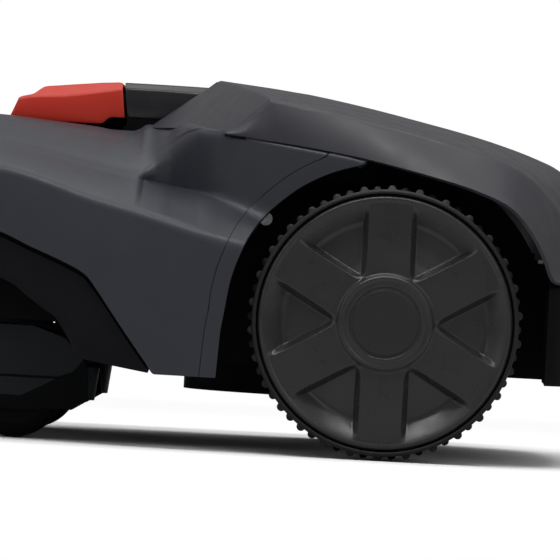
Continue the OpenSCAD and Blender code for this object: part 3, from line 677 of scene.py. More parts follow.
# ---------------------------------------------------------------- rear cover
# Each row from the tail forwards: middle, top edge, crease and lower edge of a station
COVER = [[Vector(p) for p in row] for row in [
    [(-180, 0, 156), (-179.6, 90, 155), (-172, 140, 151.5), (-165, 185, 148.6)],
    [(-179.3, 0, 184), (-178, 91, 182), (-168, 154, 162), (-158, 207, 149)],
    [(-172, 0, 212), (-171, 92, 209), (-158, 171, 180), (-148, 229, 149.5)],
    [(-159, 0, 233), (-158, 94, 231), (-144, 188, 199), (-134.5, 247, 151)],
    [(-142, 0, 246.5), (-142, 95, 244.5), (-133, 201, 213), (-126, 256, 169)],
    [(-124, 0, 254), (-124, 96, 252.5), (-119, 210, 228), (-113, 260, 190)],
    [(-100, 0, 262), (-100, 97, 260.5), (-100, 220, 240), (-95, 261, 208)],
    [(-70, 0, 270.5), (-70, 98, 268.5), (-70, 227, 250.5), (-66, 260, 220)],
    [(-32, 0, 279), (-32, 99, 277), (-31, 231, 260.5), (-32, 257, 229)],
    [(27, 0, 291), (27, 100, 289), (22, 233, 271.5), (19, 251, 240)],
    [(84, 0, 299.8), (84, 100, 298.2), (60, 233, 279), (60, 246.5, 246.3)],
    [(147, 0, 305.6), (147, 101, 304.4), (100, 230, 285.6), (90, 241, 250)],
    [(202, 0, 263), (202, 113, 261.2), (135, 231.6, 255.8), (134, 234.6, 254.9)],
]]
RAMP_ROW = 11       # the front ramp runs from this row to the last
RAMP_START = 0.055  # share of the ramp taken by its rounded top edge


def catmull_rom(p0, p1, p2, p3, t):
    """Smooth curve from p1 to p2."""
    t2, t3 = t * t, t * t * t
    return 0.5 * ((2 * p1) + (p2 - p0) * t + (2 * p0 - 5 * p1 + 4 * p2 - p3) * t2
                  + (3 * p1 - p0 - 3 * p2 + p3) * t3)


def cover_station(k, t):
    """Control points of a station between row k and k + 1."""
    if k == RAMP_ROW:
        return [a.lerp(b, t) for a, b in zip(COVER[k], COVER[k + 1])]
    points = []
    for j in range(4):
        if k + 2 <= RAMP_ROW:
            beyond = COVER[k + 2][j]
        else:
            beyond = COVER[RAMP_ROW][j] * 2 - COVER[RAMP_ROW - 1][j]
        points.append(catmull_rom(COVER[max(k - 1, 0)][j], COVER[k][j], COVER[k + 1][j],
                                  beyond, t))
    return points


def cover_section(station):
    middle, edge, crease, bottom = station
    at_edge = fillet(middle, edge, crease, 18, 16, 7)
    at_crease = fillet(edge, crease, bottom, 5, 5, 6)
    points = [middle]
    points += between(middle, at_edge[0], 9, 1.0)
    points += at_edge
    points += between(at_edge[-1], at_crease[0], 16, 1.6, Vector((0, 0.3, 0.9)))
    points += at_crease
    points += between(at_crease[-1], bottom, 9, 1.0, Vector((0, 1, 0.2)))
    points.append(bottom)
    return points


def cover_rows():
    stations = []
    for k in range(RAMP_ROW):
        n = 4 if k < 5 else (6 if k < 8 else 12)
        stations += [cover_station(k, i / n) for i in range(n)]
    # the last rows before the ramp, its rounded top edge, then the ramp
    before = cover_station(RAMP_ROW - 1, 0.97)
    corner = cover_station(RAMP_ROW, 0.0)
    after = cover_station(RAMP_ROW, RAMP_START)
    stations.append(before)
    for i in range(1, 5):
        t = i / 5
        stations.append([a * (1 - t) ** 2 + b * 2 * t * (1 - t) + c * t * t
                         for a, b, c in zip(before, corner, after)])
    stations.append(after)
    for i in range(1, 13):
        stations.append(cover_station(RAMP_ROW, RAMP_START + (1 - RAMP_START) * i / 12))
    return [cover_section(s) for s in stations]


def build_rear_cover():
    bm = grid(cover_rows())
    face_outward(bm, (100, 0, 302), UP)
    cut_away(bm, console_opening)
    add_mirror(bm)
    thicken(bm, 3.0)
    make("rear_cover", bm, "cover", "shell", "rear_cover", bevel_mm=0.7)


def build_cover_rim():
    """A dark rim hangs round the console opening, under the cover."""
    rim_z = straight_curve([(27, 287.0), (84, 296.2), (147, 302.0), (200, 259.0)])
    plan = [(x, 105.3) for x in (188, 178, 168, 158, 147, 136, 124, 112, 100, 88)]
    plan += [(80, 104.2), (75.5, 101), (72.9, 96)]
    plan += [(72.6, y) for y in (84, 60, 36, 12, 0)]
    columns = [((x, y, rim_z(x)), (x, y, min(246.0, rim_z(x) - 6))) for x, y in plan]
    hanging_wall("rear_cover_rim", columns, 1.6, "rear_cover")


build_rear_cover()
build_cover_rim()

# ---------------------------------------------------------------- lower skirt
# (x, height) of the skirt's lower edge
skirt_low_z = straight_curve([
    (181, 58.6), (186, 59.5), (217, 64), (241, 68), (247, 71), (252, 82), (259, 93),
    (265, 101), (272, 105), (288, 116), (298, 124), (308, 129), (330, 134.5), (352, 134.5),
    (372, 124), (386, 108), (397, 94), (412, 82), (430, 75.5), (460, 72.5), (505, 74),
    (532, 80)])
SKIRT_XS = sorted(set(
    [187.5, 192, 203, 217, 229, 241, 247, 252, 259, 265, 272, 280, 288, 298, 308]
    + [318 + 6 * i for i in range(20)] + [372, 386, 397, 412, 430, 445]
    + [445 + 90 * math.sin(math.pi / 2 * i / 26) for i in range(27)]))


def skirt_row(x):
    y = low_y(x) - 3.4
    z_top = low_z_straight(x) + 1.0
    z_bottom = min(z_top - 1.5, skirt_low_z(x))
    # a narrow groove runs between the side panel and the skirt
    groove = min(3.0, (z_top - z_bottom) * 0.3)
    points = [Vector((x, y - 6.5, z_top + 2.0)), Vector((x, y - 6.5, z_top - 1.4 - groove)),
              Vector((x, y - 1.2, z_top - 1.4 - groove)),
              Vector((x, y - 0.3, z_top - 1.7 - groove))]
    z_top = max(z_top - (2.4 + groove), z_bottom + 0.6)
    drop = z_top - z_bottom
    for i in range(13):
        t = i / 12
        # the face leans inwards towards its lower edge and rolls under it
        lean = 3.0 * t + 9.0 * t ** 6
        points.append(Vector((x, y - min(lean, 0.14 * drop + 2.0 * t), z_top - drop * t)))
    end = points[-1]
    points.append(end + Vector((0, -2.5, 0.3)))
    points.append(end + Vector((0, -6.5, 1.6)))
    return points


def nose_setback(z):
    """The skirt's front leans back below 111 mm."""
    return (111 - min(z, 111)) * 0.12


def build_skirt():
    half = [skirt_row(x) for x in SKIRT_XS]
    tip = half[-1]
    half.append([Vector((lerp(p.x, 538.5 - nose_setback(p.z), 0.75), p.y * 0.5, p.z))
                 for p in tip])
    middle = [Vector((538.8 - nose_setback(p.z), 0, p.z)) for p in tip]
    mirrored = [[Vector((p.x, -p.y, p.z)) for p in row] for row in reversed(half)]
    bm = grid(half + [middle] + mirrored)
    turn_towards(bm, (300, 240, 140), (0, 1, 0))
    thicken(bm, 2.6)
    make("lower_skirt", bm, "skirt", "shell", "lower_skirt", bevel_mm=0.6)


build_skirt()

# ---------------------------------------------------------------- rear bumper
# (height, inset of the plan outline) from the upper rim down
BUMPER_LEVELS = [(145.2, 0.9), (144.6, 0.3), (143.4, 0.0), (125, 0.0), (105, 0.3), (85, 1.0),
                 (72, 2.0), (68, 3.0), (66.6, 4.4), (66.1, 6.2)]


def bumper_plan(inset):
    """(x, y) from the left leg to the middle of the tail."""
    d = inset
    return [(-131, 244 - d), (-140, 236.5 - d), (-148, 226 - d * 0.8), (-155, 212 - d * 0.6),
            (-161 + d, 196), (-167 + d, 172), (-171.5 + d, 140), (-175 + d, 100),
            (-177.2 + d, 60), (-178.5 + d, 0)]


def build_bumper():
    rows = []
    for z, inset in BUMPER_LEVELS:
        left = [Vector((x, y, z)) for x, y in bumper_plan(inset)]
        rows.append(left + [Vector((p.x, -p.y, p.z)) for p in reversed(left[:-1])])
    bm = grid(rows)
    turn_towards(bm, (-178, 0, 110), (-1, 0, 0))
    bmesh.ops.subdivide_edges(bm, edges=bm.edges[:], cuts=1, use_grid_fill=True, smooth=0.0)
    thicken(bm, 3.6)
    make("rear_bumper", bm, "bumper", "shell", "rear_bumper", bevel_mm=0.8)


build_bumper()

# ---------------------------------------------------------------- drive wheels
SPOKES = 6
SPOKE_HALF = 16.6       # half width of a spoke
SECTOR_R = 41.0         # inside this radius the columns run straight to the centre
FACE_R = 102.2
FACE_Y = 274.0          # flat outer face of the hub cap
FACE_HOLE_R = 0.6       # innermost ring of the face, closed by one flat polygon
BORE_R, BORE_END_Y = 8.05, 262.8
# distances from a spoke's edge into a pocket, and offsets as shares of the half width
WALL_LEVELS = [0.35, 0.9, 1.8, 3.0, 4.1, 4.9, 5.6, 6.6]
SPOKE_OFFSETS = [0.0, 0.35, 0.7, 0.9, 0.975, 1.0]
FACE_RADII = [
    FACE_HOLE_R, 4, 8, 12, 16, 20, 24, 26.4, 27.4, 27.9, 28.3, 28.8, 29.3, 30.2, 31.4, 32.6,
    33.8, 34.8, 35.8, 36.8, 37.8, 38.8, 39.8, 40.6, 41.4, 42.2, 43.2, 44.4, 46, 48, 50.5, 53,
    56, 59, 62, 65, 68, 71, 74, 76.5, 78.5, 79.8, 80.8, 81.8, 82.8, 84, 86, 88, 90, 92, 93.6,
    95, 96, 96.8, 97.6, 98.6, 99.6, 100.5, 101.2, 101.7, 102.0, 102.15, FACE_R]
# (radius, y) down the rim, over the back and into the bore
HUB_BACK = [
    (FACE_R, 266.6), (101.6, 265.6), (97.0, 265.2), (95.9, 264.6), (95.9, 229.4),
    (95.2, 228.6), (91.0, 228.6), (90.2, 229.4), (90.2, 255.6), (88.4, 257.4), (60, 257.6),
    (24, 257.6), (20.4, 256.6), (19.9, 255.0), (19.9, 219.0), (19.2, 218.3), (8.4, 218.3),
    (BORE_R, 218.8), (BORE_R, BORE_END_Y)]
# (radius, depth) of a pocket between spokes
pocket_depth = straight_curve([
    (39, 0.0), (41.5, 1.9), (45, 4.8), (52, 7.8), (66, 10.2), (79.5, 11.4), (82.5, 10.6),
    (92, 3.0), (96, 0.3), (97.5, 0.0)])


def face_height(r):
    """Height of the hub cap's face over its flat, away from the pockets."""
    h = 0.0
    # raised ring round the hub with filleted flanks
    h += (3.4 * smooth_step(40.2, 36.0, r) - 0.9 * smooth_step(36.0, 32.6, r)
          + 0.5 * smooth_step(32.6, 31.6, r))
    # shallow seat for the centre cap
    h -= 1.3 * smooth_step(29.2, 28.0, r)
    # the face falls a little towards the rim and carries a raised lip near it
    h -= 0.6 * smooth_step(60, 97, r)
    h += 0.9 * smooth_step(96.2, 98.4, r)
    # then it rolls over the edge
    if r > 98.2:
        t = min(1.0, (r - 98.2) / (FACE_R - 98.2))
        h -= 4.6 * (1 - math.sqrt(max(0.0, 1 - t * t)))
    return h


def face_columns(r):
    """(angle, distance into a pocket) of each point of the ring at radius r."""
    r = max(r, SECTOR_R)
    half_pitch = math.radians(180 / SPOKES)
    middle_distance = r * 0.5 - SPOKE_HALF
    # from a spoke's edge to the middle of the pocket, angles counted from that middle
    pocket = []
    for d in WALL_LEVELS:
        angle = max(half_pitch - math.asin((SPOKE_HALF + d) / r), 0.0)
        pocket.append((angle, d if angle > 0 else min(d, middle_distance)))
    last = pocket[-1][0]
    for share in (0.72, 0.4, 0.12):
        pocket.append((last * share, 9.0 if last > 0 else middle_distance))
    columns = []
    for s in range(SPOKES):
        spoke = math.radians(90 + 60 * s)
        middle = spoke + half_pitch
        for q in [-v for v in reversed(SPOKE_OFFSETS[1:])] + SPOKE_OFFSETS:
            columns.append((spoke + math.asin(q * SPOKE_HALF / r), 0.0))
        columns += [(middle - angle, d) for angle, d in pocket]
        columns += [(middle + angle, d) for angle, d in reversed(pocket)]
    return columns


def wheel_point(r, y, angle):
    return Vector((r * math.cos(angle), y, AXLE_Z + r * math.sin(angle)))


def wheel_face():
    rows = []
    for r in FACE_RADII:
        row = []
        for angle, d in face_columns(r):
            wall = smooth_step(0.0, 5.2, d)
            h = face_height(r) - pocket_depth(r) * wall
            row.append(wheel_point(r, FACE_Y + h, angle))
        rows.append(row)
    return rows


def revolve(profile, count, shape=lambda r, y, angle: r):
    """Rings from (radius, y) points round the wheel axis; shape may alter the radius."""
    angles = [2 * math.pi * k / count for k in range(count)]
    return [[wheel_point(shape(r, y, a), y, a) for a in angles] for r, y in profile]


def wheel_ring(bm, radius, y):
    """The vertices of one ring round the wheel axis, in order."""
    ring = [v for v in bm.verts if abs(v.co.y - y) < 0.02
            and abs(math.hypot(v.co.x, v.co.z - AXLE_Z) - radius) < 0.02]
    return sorted(ring, key=lambda v: math.atan2(v.co.z - AXLE_Z, v.co.x))


def build_hub_cap(side):
    rows = wheel_face()
    # the back uses the face's own column angles, so the two close into one skin
    angles = [math.atan2(p.z - AXLE_Z, p.x) for p in rows[-1]]
    rows += [[wheel_point(r, y, a) for a in angles] for r, y in HUB_BACK]
    bm = grid(rows, closed=True)
    # close the middle of the face and the blind end of the bore
    bm.faces.new(wheel_ring(bm, FACE_HOLE_R, FACE_Y + face_height(FACE_HOLE_R)))
    bm.faces.new(wheel_ring(bm, BORE_R, BORE_END_Y))
    face_outward(bm, (0, 275, AXLE_Z + 70), (0, 1, 0))
    name = "hub_cap_" + side
    make(name, place_on(side, bm), "hub", "wheel_" + side, name)


# (radius, y) of the centre cap: a plain dished disc with a fine rim
CENTRE_CAP = [
    (0.4, 276.2), (6, 276.22), (12, 276.28), (17, 276.42), (20.5, 276.62), (22.0, 276.8),
    (23.0, 276.84), (24.6, 276.86), (25.6, 276.8), (26.4, 276.5), (26.75, 276.1),
    (26.85, 275.6), (26.85, 273.1), (26.0, 272.9), (0.4, 272.9)]


def build_centre_cap(side):
    bm = grid(revolve(CENTRE_CAP, 120), closed=True)
    for end in (CENTRE_CAP[0], CENTRE_CAP[-1]):
        bm.faces.new(wheel_ring(bm, *end))
    face_outward(bm, (0, 276.3, AXLE_Z + 10), (0, 1, 0))
    name = "centre_cap_" + side
    make(name, place_on(side, bm), "cap", "wheel_" + side, name)


TREAD_R = 106.6         # between the studs
STUD_TOP_R = 110.0
STUDS = 30              # in each row
# (middle y, half width, offset in stud pitches) of the two staggered rows
STUD_ROWS = ((264.2, 7.8, 0.5), (242.0, 7.6, 0.0))
TREAD_YS = [
    271.9, 271.3, 270.6, 269.8, 269.0, 268, 266, 264, 262, 260, 258.8, 258.0, 257.2, 256.4,
    255.4, 253, 251, 249.6, 248.8, 248, 247.2, 246.4, 244, 241, 238.4, 237.2, 236.4, 235.6,
    234.8, 234.0, 231, 228.2]
# (radius, y) from the hub cap over the outer wall, the tread and back along the inside
TYRE = (
    [(103.0, 266.8), (103.0, 273.6), (103.4, 274.3), (104.2, 274.7), (105.2, 274.4),
     (106.0, 273.5), (TREAD_R, 272.6)]
    + [(TREAD_R, y) for y in TREAD_YS]
    + [(106.0, 227.2), (104.8, 226.6), (98.0, 226.4), (96.6, 226.9), (96.15, 228),
       (96.15, 265.4), (97, 266.0), (102.2, 266.6)])


def stud_radius(r, y, angle):
    if r < TREAD_R - 0.01:
        return r
    h = 0.0
    for y_middle, half_width, offset in STUD_ROWS:
        u = (angle / (2 * math.pi) * STUDS + offset + 0.5) % 1.0 - 0.5
        along = abs(u) * 2 * math.pi / STUDS * 108.0
        across = 1 - smooth_step(half_width - 2.6, half_width, abs(y - y_middle))
        h = max(h, across * math.sqrt(max(0.0, 1 - (along / 3.6) ** 2)))
    return r + (STUD_TOP_R - TREAD_R) * h


def build_tyre(side):
    bm = grid(revolve(TYRE, 720, stud_radius), closed=True)
    # join the last ring to the first
    first, last = wheel_ring(bm, *TYRE[0]), wheel_ring(bm, *TYRE[-1])
    for i in range(len(first)):
        j = (i + 1) % len(first)
        bm.faces.new([first[i], first[j], last[j], last[i]])
    face_outward(bm, (0, 274.7, AXLE_Z + 104.2), (0, 1, 0))
    name = "tyre_" + side
    make(name, place_on(side, bm), "tyre", "wheel_" + side, name)


for side, _ in SIDES:
    build_hub_cap(side)
    build_centre_cap(side)
    build_tyre(side)

# ---------------------------------------------------------------- stop button and hatch
LID_HALF = 87.6         # half width of the stop button and of the hatch


def lid_section(x, top, crease, bottom, half, half_top, shear):
    """Ring of a downward-open cap at x: outside over the top, then back along the inside.
    shear moves the lower points towards the tail."""
    wall = 2.6
    crease = min(crease, top - 0.6)
    middle = Vector((x, 0, top + 0.5))
    shoulder = Vector((x, half_top, top - 0.3))
    bend = Vector((x, half - 0.4, crease))
    foot = Vector((x, half, bottom))
    left = [middle.lerp(shoulder, i / 8)
            + UP * (0.5 * math.sin(math.pi * i / 16 + math.pi / 2) - 0.5) for i in range(7)]
    left += fillet(middle, shoulder, bend, 3.0, 3.0, 5)
    left += fillet(shoulder, bend, foot, 2.2, 2.2, 5)
    left += [bend.lerp(foot, t) + Vector((0, 0.7 * math.sin(math.pi * t), 0))
             for t in (0.3, 0.5, 0.7, 0.9)]
    left += [foot + Vector((0, -0.5, -0.25)), foot + Vector((0, -wall, -0.25))]
    # the inside, from the lower edge back to the middle
    left += [Vector((x, half - wall, lerp(bottom, crease, t))) for t in (0.2, 0.6)]
    left += [Vector((x, half - wall - 0.5, crease - 1.0)),
             Vector((x, half_top - 1.5, top - wall - 0.5)),
             Vector((x, half_top * 0.5, top - wall)), Vector((x, 0, top - wall))]
    for p in left:
        p.x -= shear * max(0.0, min(1.0, (top - p.z) / 30.0))
    return left + [Vector((p.x, -p.y, p.z)) for p in reversed(left[1:-1])]


# (x, height) of the stop button's top, crease and lower edge, and its stations
stop_top = straight_curve([
    (225, 299.0), (229, 299.0), (244, 298), (266, 295.6), (289, 292.9), (291.6, 292.2),
    (294, 290.6), (299.5, 285.8), (302, 284.9), (309, 283.2), (312, 281.8), (314, 277),
    (318, 268)])
stop_crease = straight_curve([
    (225, 292.9), (250, 288.2), (274, 284.3), (288, 283.4), (299, 282.6), (306, 281.6),
    (312, 279.5), (318, 266.4)])
stop_bottom = straight_curve([
    (225, 269.2), (236.2, 269.2), (238.6, 268.2), (241, 265.6), (243.4, 263.6), (246, 263.3),
    (318, 263.3)])
STOP_XS = [
    226.2, 226.6, 227.4, 229, 232, 234.6, 236.2, 237.4, 238.6, 239.8, 241, 242.2, 243.4,
    244.8, 247, 252, 258, 266, 274, 281, 286, 289, 290.6, 292, 293.4, 295, 297, 299, 300.4,
    302, 304, 306.5, 309, 310.6, 312, 313, 314, 315.4, 316.8, 318]


def build_stop_shell():
    rings = []
    for x in STOP_XS:
        top = stop_top(x)
        crease = min(stop_crease(x), top - 1.2)
        bottom = min(stop_bottom(x), crease - 1.0)
        # the ends are drawn in by a rounded edge
        edge = 0.8 * (1 - smooth_step(226.2, 228.4, x)) + 1.2 * smooth_step(311, 318, x)
        half_top = LID_HALF - 1.2 - max(2.0, (top - crease) * 1.25)
        rings.append(lid_section(
            x, top - edge * 0.5, crease - edge * 0.4, bottom, LID_HALF - edge,
            half_top - edge, shear=3.6 * (1 - smooth_step(226, 262, x))))
    make("stop_button_shell", ring_loft(rings), "stop", "stop",
         "stop_button", bevel_mm=0.5, bevel_angle=55)


def build_stop_stem():
    bm = ring_loft([upright_ring(270, 6.95, z) for z in (250.3, 270, 290)])
    make("stop_button_stem", bm, "stop", "stop", weighted=False)


def build_stop_inner_skirt():
    """Skirt inside the button: two sides and a rear wall, in the chassis black as painted
    shade for the dark gap under the red button.
    """
    side_outline = ((223.8, 263.6), (262, 263.6), (262, 282), (226.6, 288))
    rear_outline = ((223.8, 263.6), (225.4, 263.6), (229, 294), (227.4, 294))
    bm = join(bmesh.new(), prism(side_outline, -81.5, -79.6), prism(side_outline, 79.6, 81.5),
              prism(rear_outline, -79.4, 79.4))
    make("stop_button_inner_skirt", bm, "chassis", "stop", weighted=False)


# (x, height) of the hatch's top, crease and lower edge, and its stations
hatch_top = straight_curve([
    (91, 291), (93, 293.6), (96, 295.2), (103, 296.4), (110, 297.1), (135, 298.0),
    (160, 298.6), (190, 298.9), (223.6, 299.0)])
hatch_crease = straight_curve([
    (91, 289.6), (96, 290.4), (110, 291), (168, 292.2), (190, 293.0), (223.6, 293.2)])
hatch_bottom = straight_curve([(91, 284.4), (110.3, 284.4), (110.6, 269.6), (223.6, 269.6)])
HATCH_XS = [
    91.2, 91.8, 93, 96, 100, 104, 110.2, 110.8, 112.6, 120, 135, 150, 165, 180, 190, 200,
    210, 216, 220, 222.2, 223.2, 223.7, 224.0]


def build_hatch():
    rings = []
    for x in HATCH_XS:
        edge = 1.0 * (1 - smooth_step(91, 94, x)) + 0.7 * smooth_step(222.4, 224.0, x)
        rings.append(lid_section(
            x, hatch_top(x) - edge * 0.5, hatch_crease(x) - edge * 0.3, hatch_bottom(x),
            LID_HALF - edge, LID_HALF - 8.4 - edge, shear=3.9 * smooth_step(180, 224, x)))
    # with a front wall under the lid
    wall = prism(((217.4, 264.6), (219.2, 264.6), (222.4, 294), (220.6, 294)), -80, 80)
    make("hatch_cover", join(ring_loft(rings), wall), "hatch", "hatch",
         "hatch_lid", bevel_mm=0.5, bevel_angle=55)


build_stop_shell()
build_stop_stem()
build_stop_inner_skirt()
build_hatch()


# ---------------------------------------------------------------- bumper lip
def build_bumper_lip():
    """Lip behind the joint of cover and bumper leg, on both sides."""
    bm = bmesh.new()
    for _, sign in SIDES:
        rings = []
        for z, d in ((139.0, 3.0), (144.4, 5.8), (150.5, 6.8)):     # height, inset
            outer = [(-131.6, 244 - d), (-140, 236.5 - d), (-148, 226 - d * 0.8),
                     (-154.6 + d * 0.15, 212 - d * 0.6), (-159.5 + d * 0.6, 198)]
            inner = [(x + 1.4, y - 1.7) for x, y in outer]
            rings.append([Vector((x, sign * y, z)) for x, y in outer + inner[::-1]])
        join(bm, ring_loft(rings))
    make("rear_bumper_lip", bm, "bumper", "shell", weighted=False)


build_bumper_lip()


# ---------------------------------------------------------------- caster forks
def inset_outline(points, d):
    """Moves each point of an outline inwards by d."""
    points = [Vector(p) for p in points]
    centre = Vector((sum(p.x for p in points) / len(points),
                     sum(p.y for p in points) / len(points)))
    out = []
    for k, p in enumerate(points):
        u = (p - points[k - 1]).normalized()
        w = (points[(k + 1) % len(points)] - p).normalized()
        normal = Vector((-u.y, u.x))
        mitre = normal + Vector((-w.y, w.x))
        mitre = mitre / max(0.35, mitre.length) if mitre.length > 1e-6 else normal
        if (centre - p).dot(mitre) < 0:
            mitre = -mitre
        out.append(p + mitre * d / max(0.5, abs(mitre.dot(normal))))
    return out


def slab(points, y0, y1, edge, steps=3):
    """Solid from an (x, z) outline between y0 and y1, with rounded rims on both faces."""
    arc = []
    for i in range(steps + 1):
        a = math.pi / 2 * i / steps
        arc.append((edge * (1 - math.cos(a)), edge * (1 - math.sin(a))))
    levels = [(y0 + c, d) for c, d in arc] + [(y1 - c, d) for c, d in reversed(arc)]
    return ring_loft([[Vector((q.x, y, q.y)) for q in inset_outline(points, d)]
                      for y, d in levels])


def densify(points, step):
    """Adds points to an outline so that they lie about a step apart."""
    out = []
    for k, p in enumerate(points):
        q = points[(k + 1) % len(points)]
        m = max(1, int(math.hypot(q[0] - p[0], q[1] - p[1]) / step))
        out += [(lerp(p[0], q[0], i / m), lerp(p[1], q[1], i / m)) for i in range(m)]
    return out


CASTER_Y = 150.0        # middle plane of a caster
CASTER_STEM_X = 314
# (x, z) outlines of the fork: cheek, top bridge, rear web and the small block above it
CHEEK = [(237, 33), (250, 24.8), (262, 25), (293, 22.2), (320, 26), (345, 45), (351.6, 60),
         (346, 78), (330, 92.8), (285, 92.8), (258, 84), (240, 64)]
BRIDGE = [(256, 83), (285, 92.8), (330, 92.8), (346, 78), (341, 72), (326, 84), (288, 84),
          (262, 74)]
WEB = [(237, 33), (250, 24.8), (255, 25), (256, 60), (262, 76), (258, 84), (240, 64)]
BLOCK = [(254.5, 80), (258.5, 96.4), (267.6, 96.4), (268.6, 84)]
# raised side panel and the plate below it
DOME = [(262, 51.4), (350.6, 51.4), (351.8, 60), (346, 78), (330, 92.9), (285, 92.9),
        (258, 84), (242, 66), (250, 56)]
WEDGE = [(264, 49.6), (349, 49.6), (344, 45), (332, 35.4), (292, 34.6)]


def place_caster(bm, sign):
    for v in bm.verts:
        v.co.y = sign * (v.co.y + CASTER_Y)
    bmesh.ops.recalc_face_normals(bm, faces=bm.faces)
    return bm


def build_fork_frame(side, sign):
    stem = ring_loft([upright_ring(CASTER_STEM_X, r, z)
                      for r, z in ((8.95, 84), (8.95, 147.3), (8.2, 148))])
    bm = join(bmesh.new(), slab(CHEEK, 24.6, 28.6, 0.6), slab(CHEEK, -28.6, -24.6, 0.6),
              slab(BRIDGE, -27.5, 27.5, 0.6), slab(WEB, -25.0, 25.0, 0.5),
              slab(BLOCK, -20.0, 20.0, 0.5), stem)
    # the frame takes the darker copy of the fork's teal as painted shade
    make("caster_fork_%s_frame" % side, place_caster(bm, sign), "fork_shaded",
         "caster_" + side, "caster_fork_" + side, bevel_mm=0.4)


def fork_tail():
    """Rounded piece at the rear of the fork."""
    rings = []
    for level in range(11):
        t = level / 10
        z = 33.2 + (61.6 - 33.2) * t
        ring = []
        for i in range(13):
            y = -20 + 40 * i / 12
            curve = (y / 20.0) ** 2
            # the top edge rises towards its two ends
            lift = 1.2 * curve if level == 10 else 0.0
            ring.append(Vector((229.4 + 9.0 * curve + 3.4 * (1 - t), y, z + lift)))
        rings.append(ring + [Vector((244, 20, z)), Vector((244, -20, z))])
    return ring_loft(rings)


def build_fork_panels(side, sign):
    bm = bmesh.new()
    # the two panels' y range, and where the plate below each ends
    for y0, y1, wedge_y1 in ((28.2, 29.9, 29.3), (-29.9, -28.2, -28.2)):
        join(bm, slab(densify(DOME, 8), y0, y1, 1.1, steps=4),
             slab(WEDGE, y0, wedge_y1, 0.5))
    join(bm, fork_tail())
    make("caster_fork_%s_panels" % side, place_caster(bm, sign), "fork",
         "caster_" + side, "caster_fork_" + side)


for side, sign in SIDES:
    build_fork_frame(side, sign)
    build_fork_panels(side, sign)

# ---------------------------------------------------------------- CAD pieces
# The CAD pieces made of each material
CAD_PIECES = {
    "chassis": "chassis_tray chassis_deck wheel_screens gearbox_left gearbox_right "
               "control_console loop_sensor shell_sockets cutter_carrier skid_plate",
    "rubber": "deck_gasket cable_harness carrier_seal joystick_front joystick_rear",
    "steel": "deck_screws hatch_pin lead_screw blade_screws drive_shaft_left "
             "drive_shaft_right caster_axle_left caster_axle_right",
    "motor": "drive_motor_left drive_motor_right blade_motor",
    "battery": "battery_pack",
    "board": "main_board radio_module",
    "lens": "display_lens",
    "brass": "charge_contacts",
    "bush": "caster_bushes",
    "switch": "stop_switch power_rocker",
    "key": "key_up key_down key_ok",
    "knob": "height_knob",
    "disc": "blade_disc",
    "blade": "blade_1 blade_2 blade_3",
    "shell": "front_shell arch_trim_left arch_trim_right",
    "cover": "rear_cover",
    "skirt": "lower_skirt",
    "bumper": "rear_bumper",
    "hatch": "hatch_lid",
    "stop": "stop_button",
    "tyre": "tyre_left tyre_right",
    "hub": "hub_cap_left hub_cap_right",
    "cap": "centre_cap_left centre_cap_right",
    "fork": "caster_fork_left caster_fork_right",
    "caster": "caster_wheel_left caster_wheel_right",
}


def dress_cad_pieces():
    material_of = {piece: key for key, pieces in CAD_PIECES.items()
                   for piece in pieces.split()}
    for name, piece in NODES.items():
        piece.data.materials.clear()
        piece.data.materials.append(MATERIALS[material_of[name]])
        if not piece.hide_render:
            add_bevel(piece, 0.6, 40)


dress_cad_pieces()


# ---------------------------------------------------------------- floor (in metres)
def floor_material():
    material, tree = new_material("studio_white")
    mottle = map_range(tree, add_node(tree, "TexNoise", {"Scale": 1.5}),
                       target=(0.90, 0.92))
    # brighter to the camera than to the light that falls on it
    to_camera = add_node(tree, "LightPath").outputs["Is Camera Ray"]
    gain = map_range(tree, to_camera, target=(0.62, 1.45))
    level = multiply(tree, mottle, gain)
    grey = add_node(tree, "CombineColor", {0: level, 1: level, 2: level})
    diffuse = add_node(tree, "BsdfDiffuse", {"Color": grey})
    # far out it glows, and so fades into the white room
    glow = add_node(tree, "Emission", {"Strength": 1.0})
    geometry = add_node(tree, "NewGeometry")
    reach = add_node(tree, "VectorMath", {0: geometry.outputs["Position"]},
                     operation="LENGTH")
    far = map_range(tree, reach.outputs["Value"], source=(0.75, 1.6))
    fade = multiply(tree, far, to_camera)
    above = add_node(tree, "MixShader", {0: fade, 1: diffuse, 2: glow})
    # seen from below, the floor is clear so that the underside shows
    under = multiply(tree, geometry.outputs["Backfacing"], to_camera)
    clear = add_node(tree, "BsdfTransparent")
    surface = add_node(tree, "MixShader", {0: under, 1: above, 2: clear})
    add_node(tree, "OutputMaterial", {"Surface": surface})
    return material


def build_floor():
    half, z = 14, -0.0004
    bm = bmesh.new()
    bm.faces.new([bm.verts.new((x, y, z)) for x, y in
                  ((-half, -half), (half, -half), (half, half), (-half, half))])
    mesh = bpy.data.meshes.new("studio_floor")
    bm.to_mesh(mesh)
    bm.free()
    for polygon in mesh.polygons:
        polygon.use_smooth = True
    floor = bpy.data.objects.new("studio_floor", mesh)
    bpy.context.scene.collection.objects.link(floor)
    mesh.materials.append(floor_material())


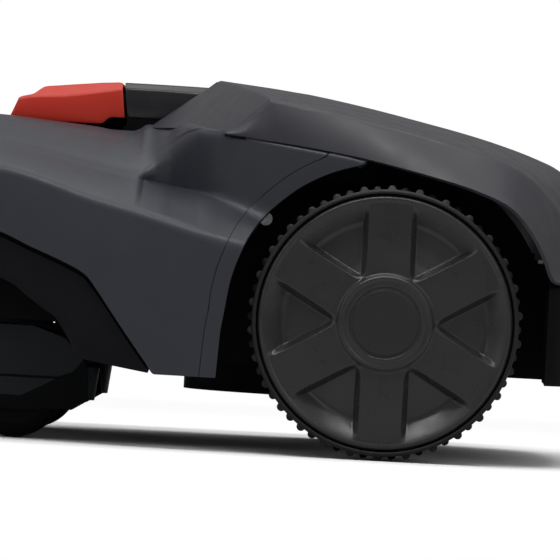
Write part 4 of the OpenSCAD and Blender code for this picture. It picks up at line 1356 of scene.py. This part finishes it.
# ---------------------------------------------------------------- light and camera (in metres)
def build_world():
    """The room is white to the eye, but lights the object mostly from overhead."""
    world = bpy.data.worlds.new("studio")
    bpy.context.scene.world = world
    world.use_nodes = True
    tree = world.node_tree
    background = tree.nodes["Background"]
    background.inputs["Color"].default_value = (1, 1, 1, 1)
    place = add_node(tree, "TexCoord").outputs["Generated"]
    height = add_node(tree, "SeparateXYZ", {0: place}).outputs["Z"]
    ramp = map_range(tree, height, source=(-0.05, 0.9), target=(0.09, 0.48))
    to_camera = add_node(tree, "LightPath").outputs["Is Camera Ray"]
    strength = add_node(tree, "Mix", {MIX_FACTOR: to_camera, MIX_A: ramp, MIX_B: 1.0})
    tree.links.new(strength.outputs[0], background.inputs["Strength"])


def area_light(name, location, target, size, size_y, power):
    light = bpy.data.lights.new(name, "AREA")
    light.shape = "RECTANGLE"
    light.size, light.size_y = size, size_y
    light.energy = power
    lamp = bpy.data.objects.new(name, light)
    bpy.context.scene.collection.objects.link(lamp)
    lamp.location = location
    aim = Vector(target) - Vector(location)
    lamp.rotation_euler = aim.to_track_quat("-Z", "Y").to_euler()


def build_camera():
    """A long lens far out on the left, looking square at that side, rolled a little."""
    camera = bpy.data.cameras.new("camera")
    holder = bpy.data.objects.new("camera", camera)
    bpy.context.scene.collection.objects.link(holder)
    camera.sensor_width = 36.0
    camera.lens = 306.9
    camera.shift_y = 0.03571429
    camera.clip_start = 0.1
    camera.clip_end = 60.0
    holder.matrix_world = (Matrix.Translation(to_frame(84.7, 4078.0, 123.8))
                           @ Euler((math.pi / 2, 0, math.pi), "XYZ").to_matrix().to_4x4()
                           @ Matrix.Rotation(math.radians(3.1), 4, "Z"))
    bpy.context.scene.camera = holder


build_floor()
build_world()
area_light("top_softbox", location=(0.0, -0.5, 2.4), target=(0.05, 0.0, 0.2),
           size=2.6, size_y=1.3, power=15)
area_light("top_strip", location=(0.0, 1.0, 2.3), target=(0.05, 0.2, 0.15),
           size=2.4, size_y=0.30, power=22)
area_light("side_softbox", location=(-1.6, 2.4, 1.3), target=(0.0, 0.1, 0.15),
           size=1.6, size_y=1.0, power=4.5)
area_light("front_strip", location=(2.2, 1.4, 1.2), target=(0.2, 0.2, 0.18),
           size=0.5, size_y=1.6, power=3.5)
build_camera()
bpy.context.scene.view_settings.view_transform = "Standard"
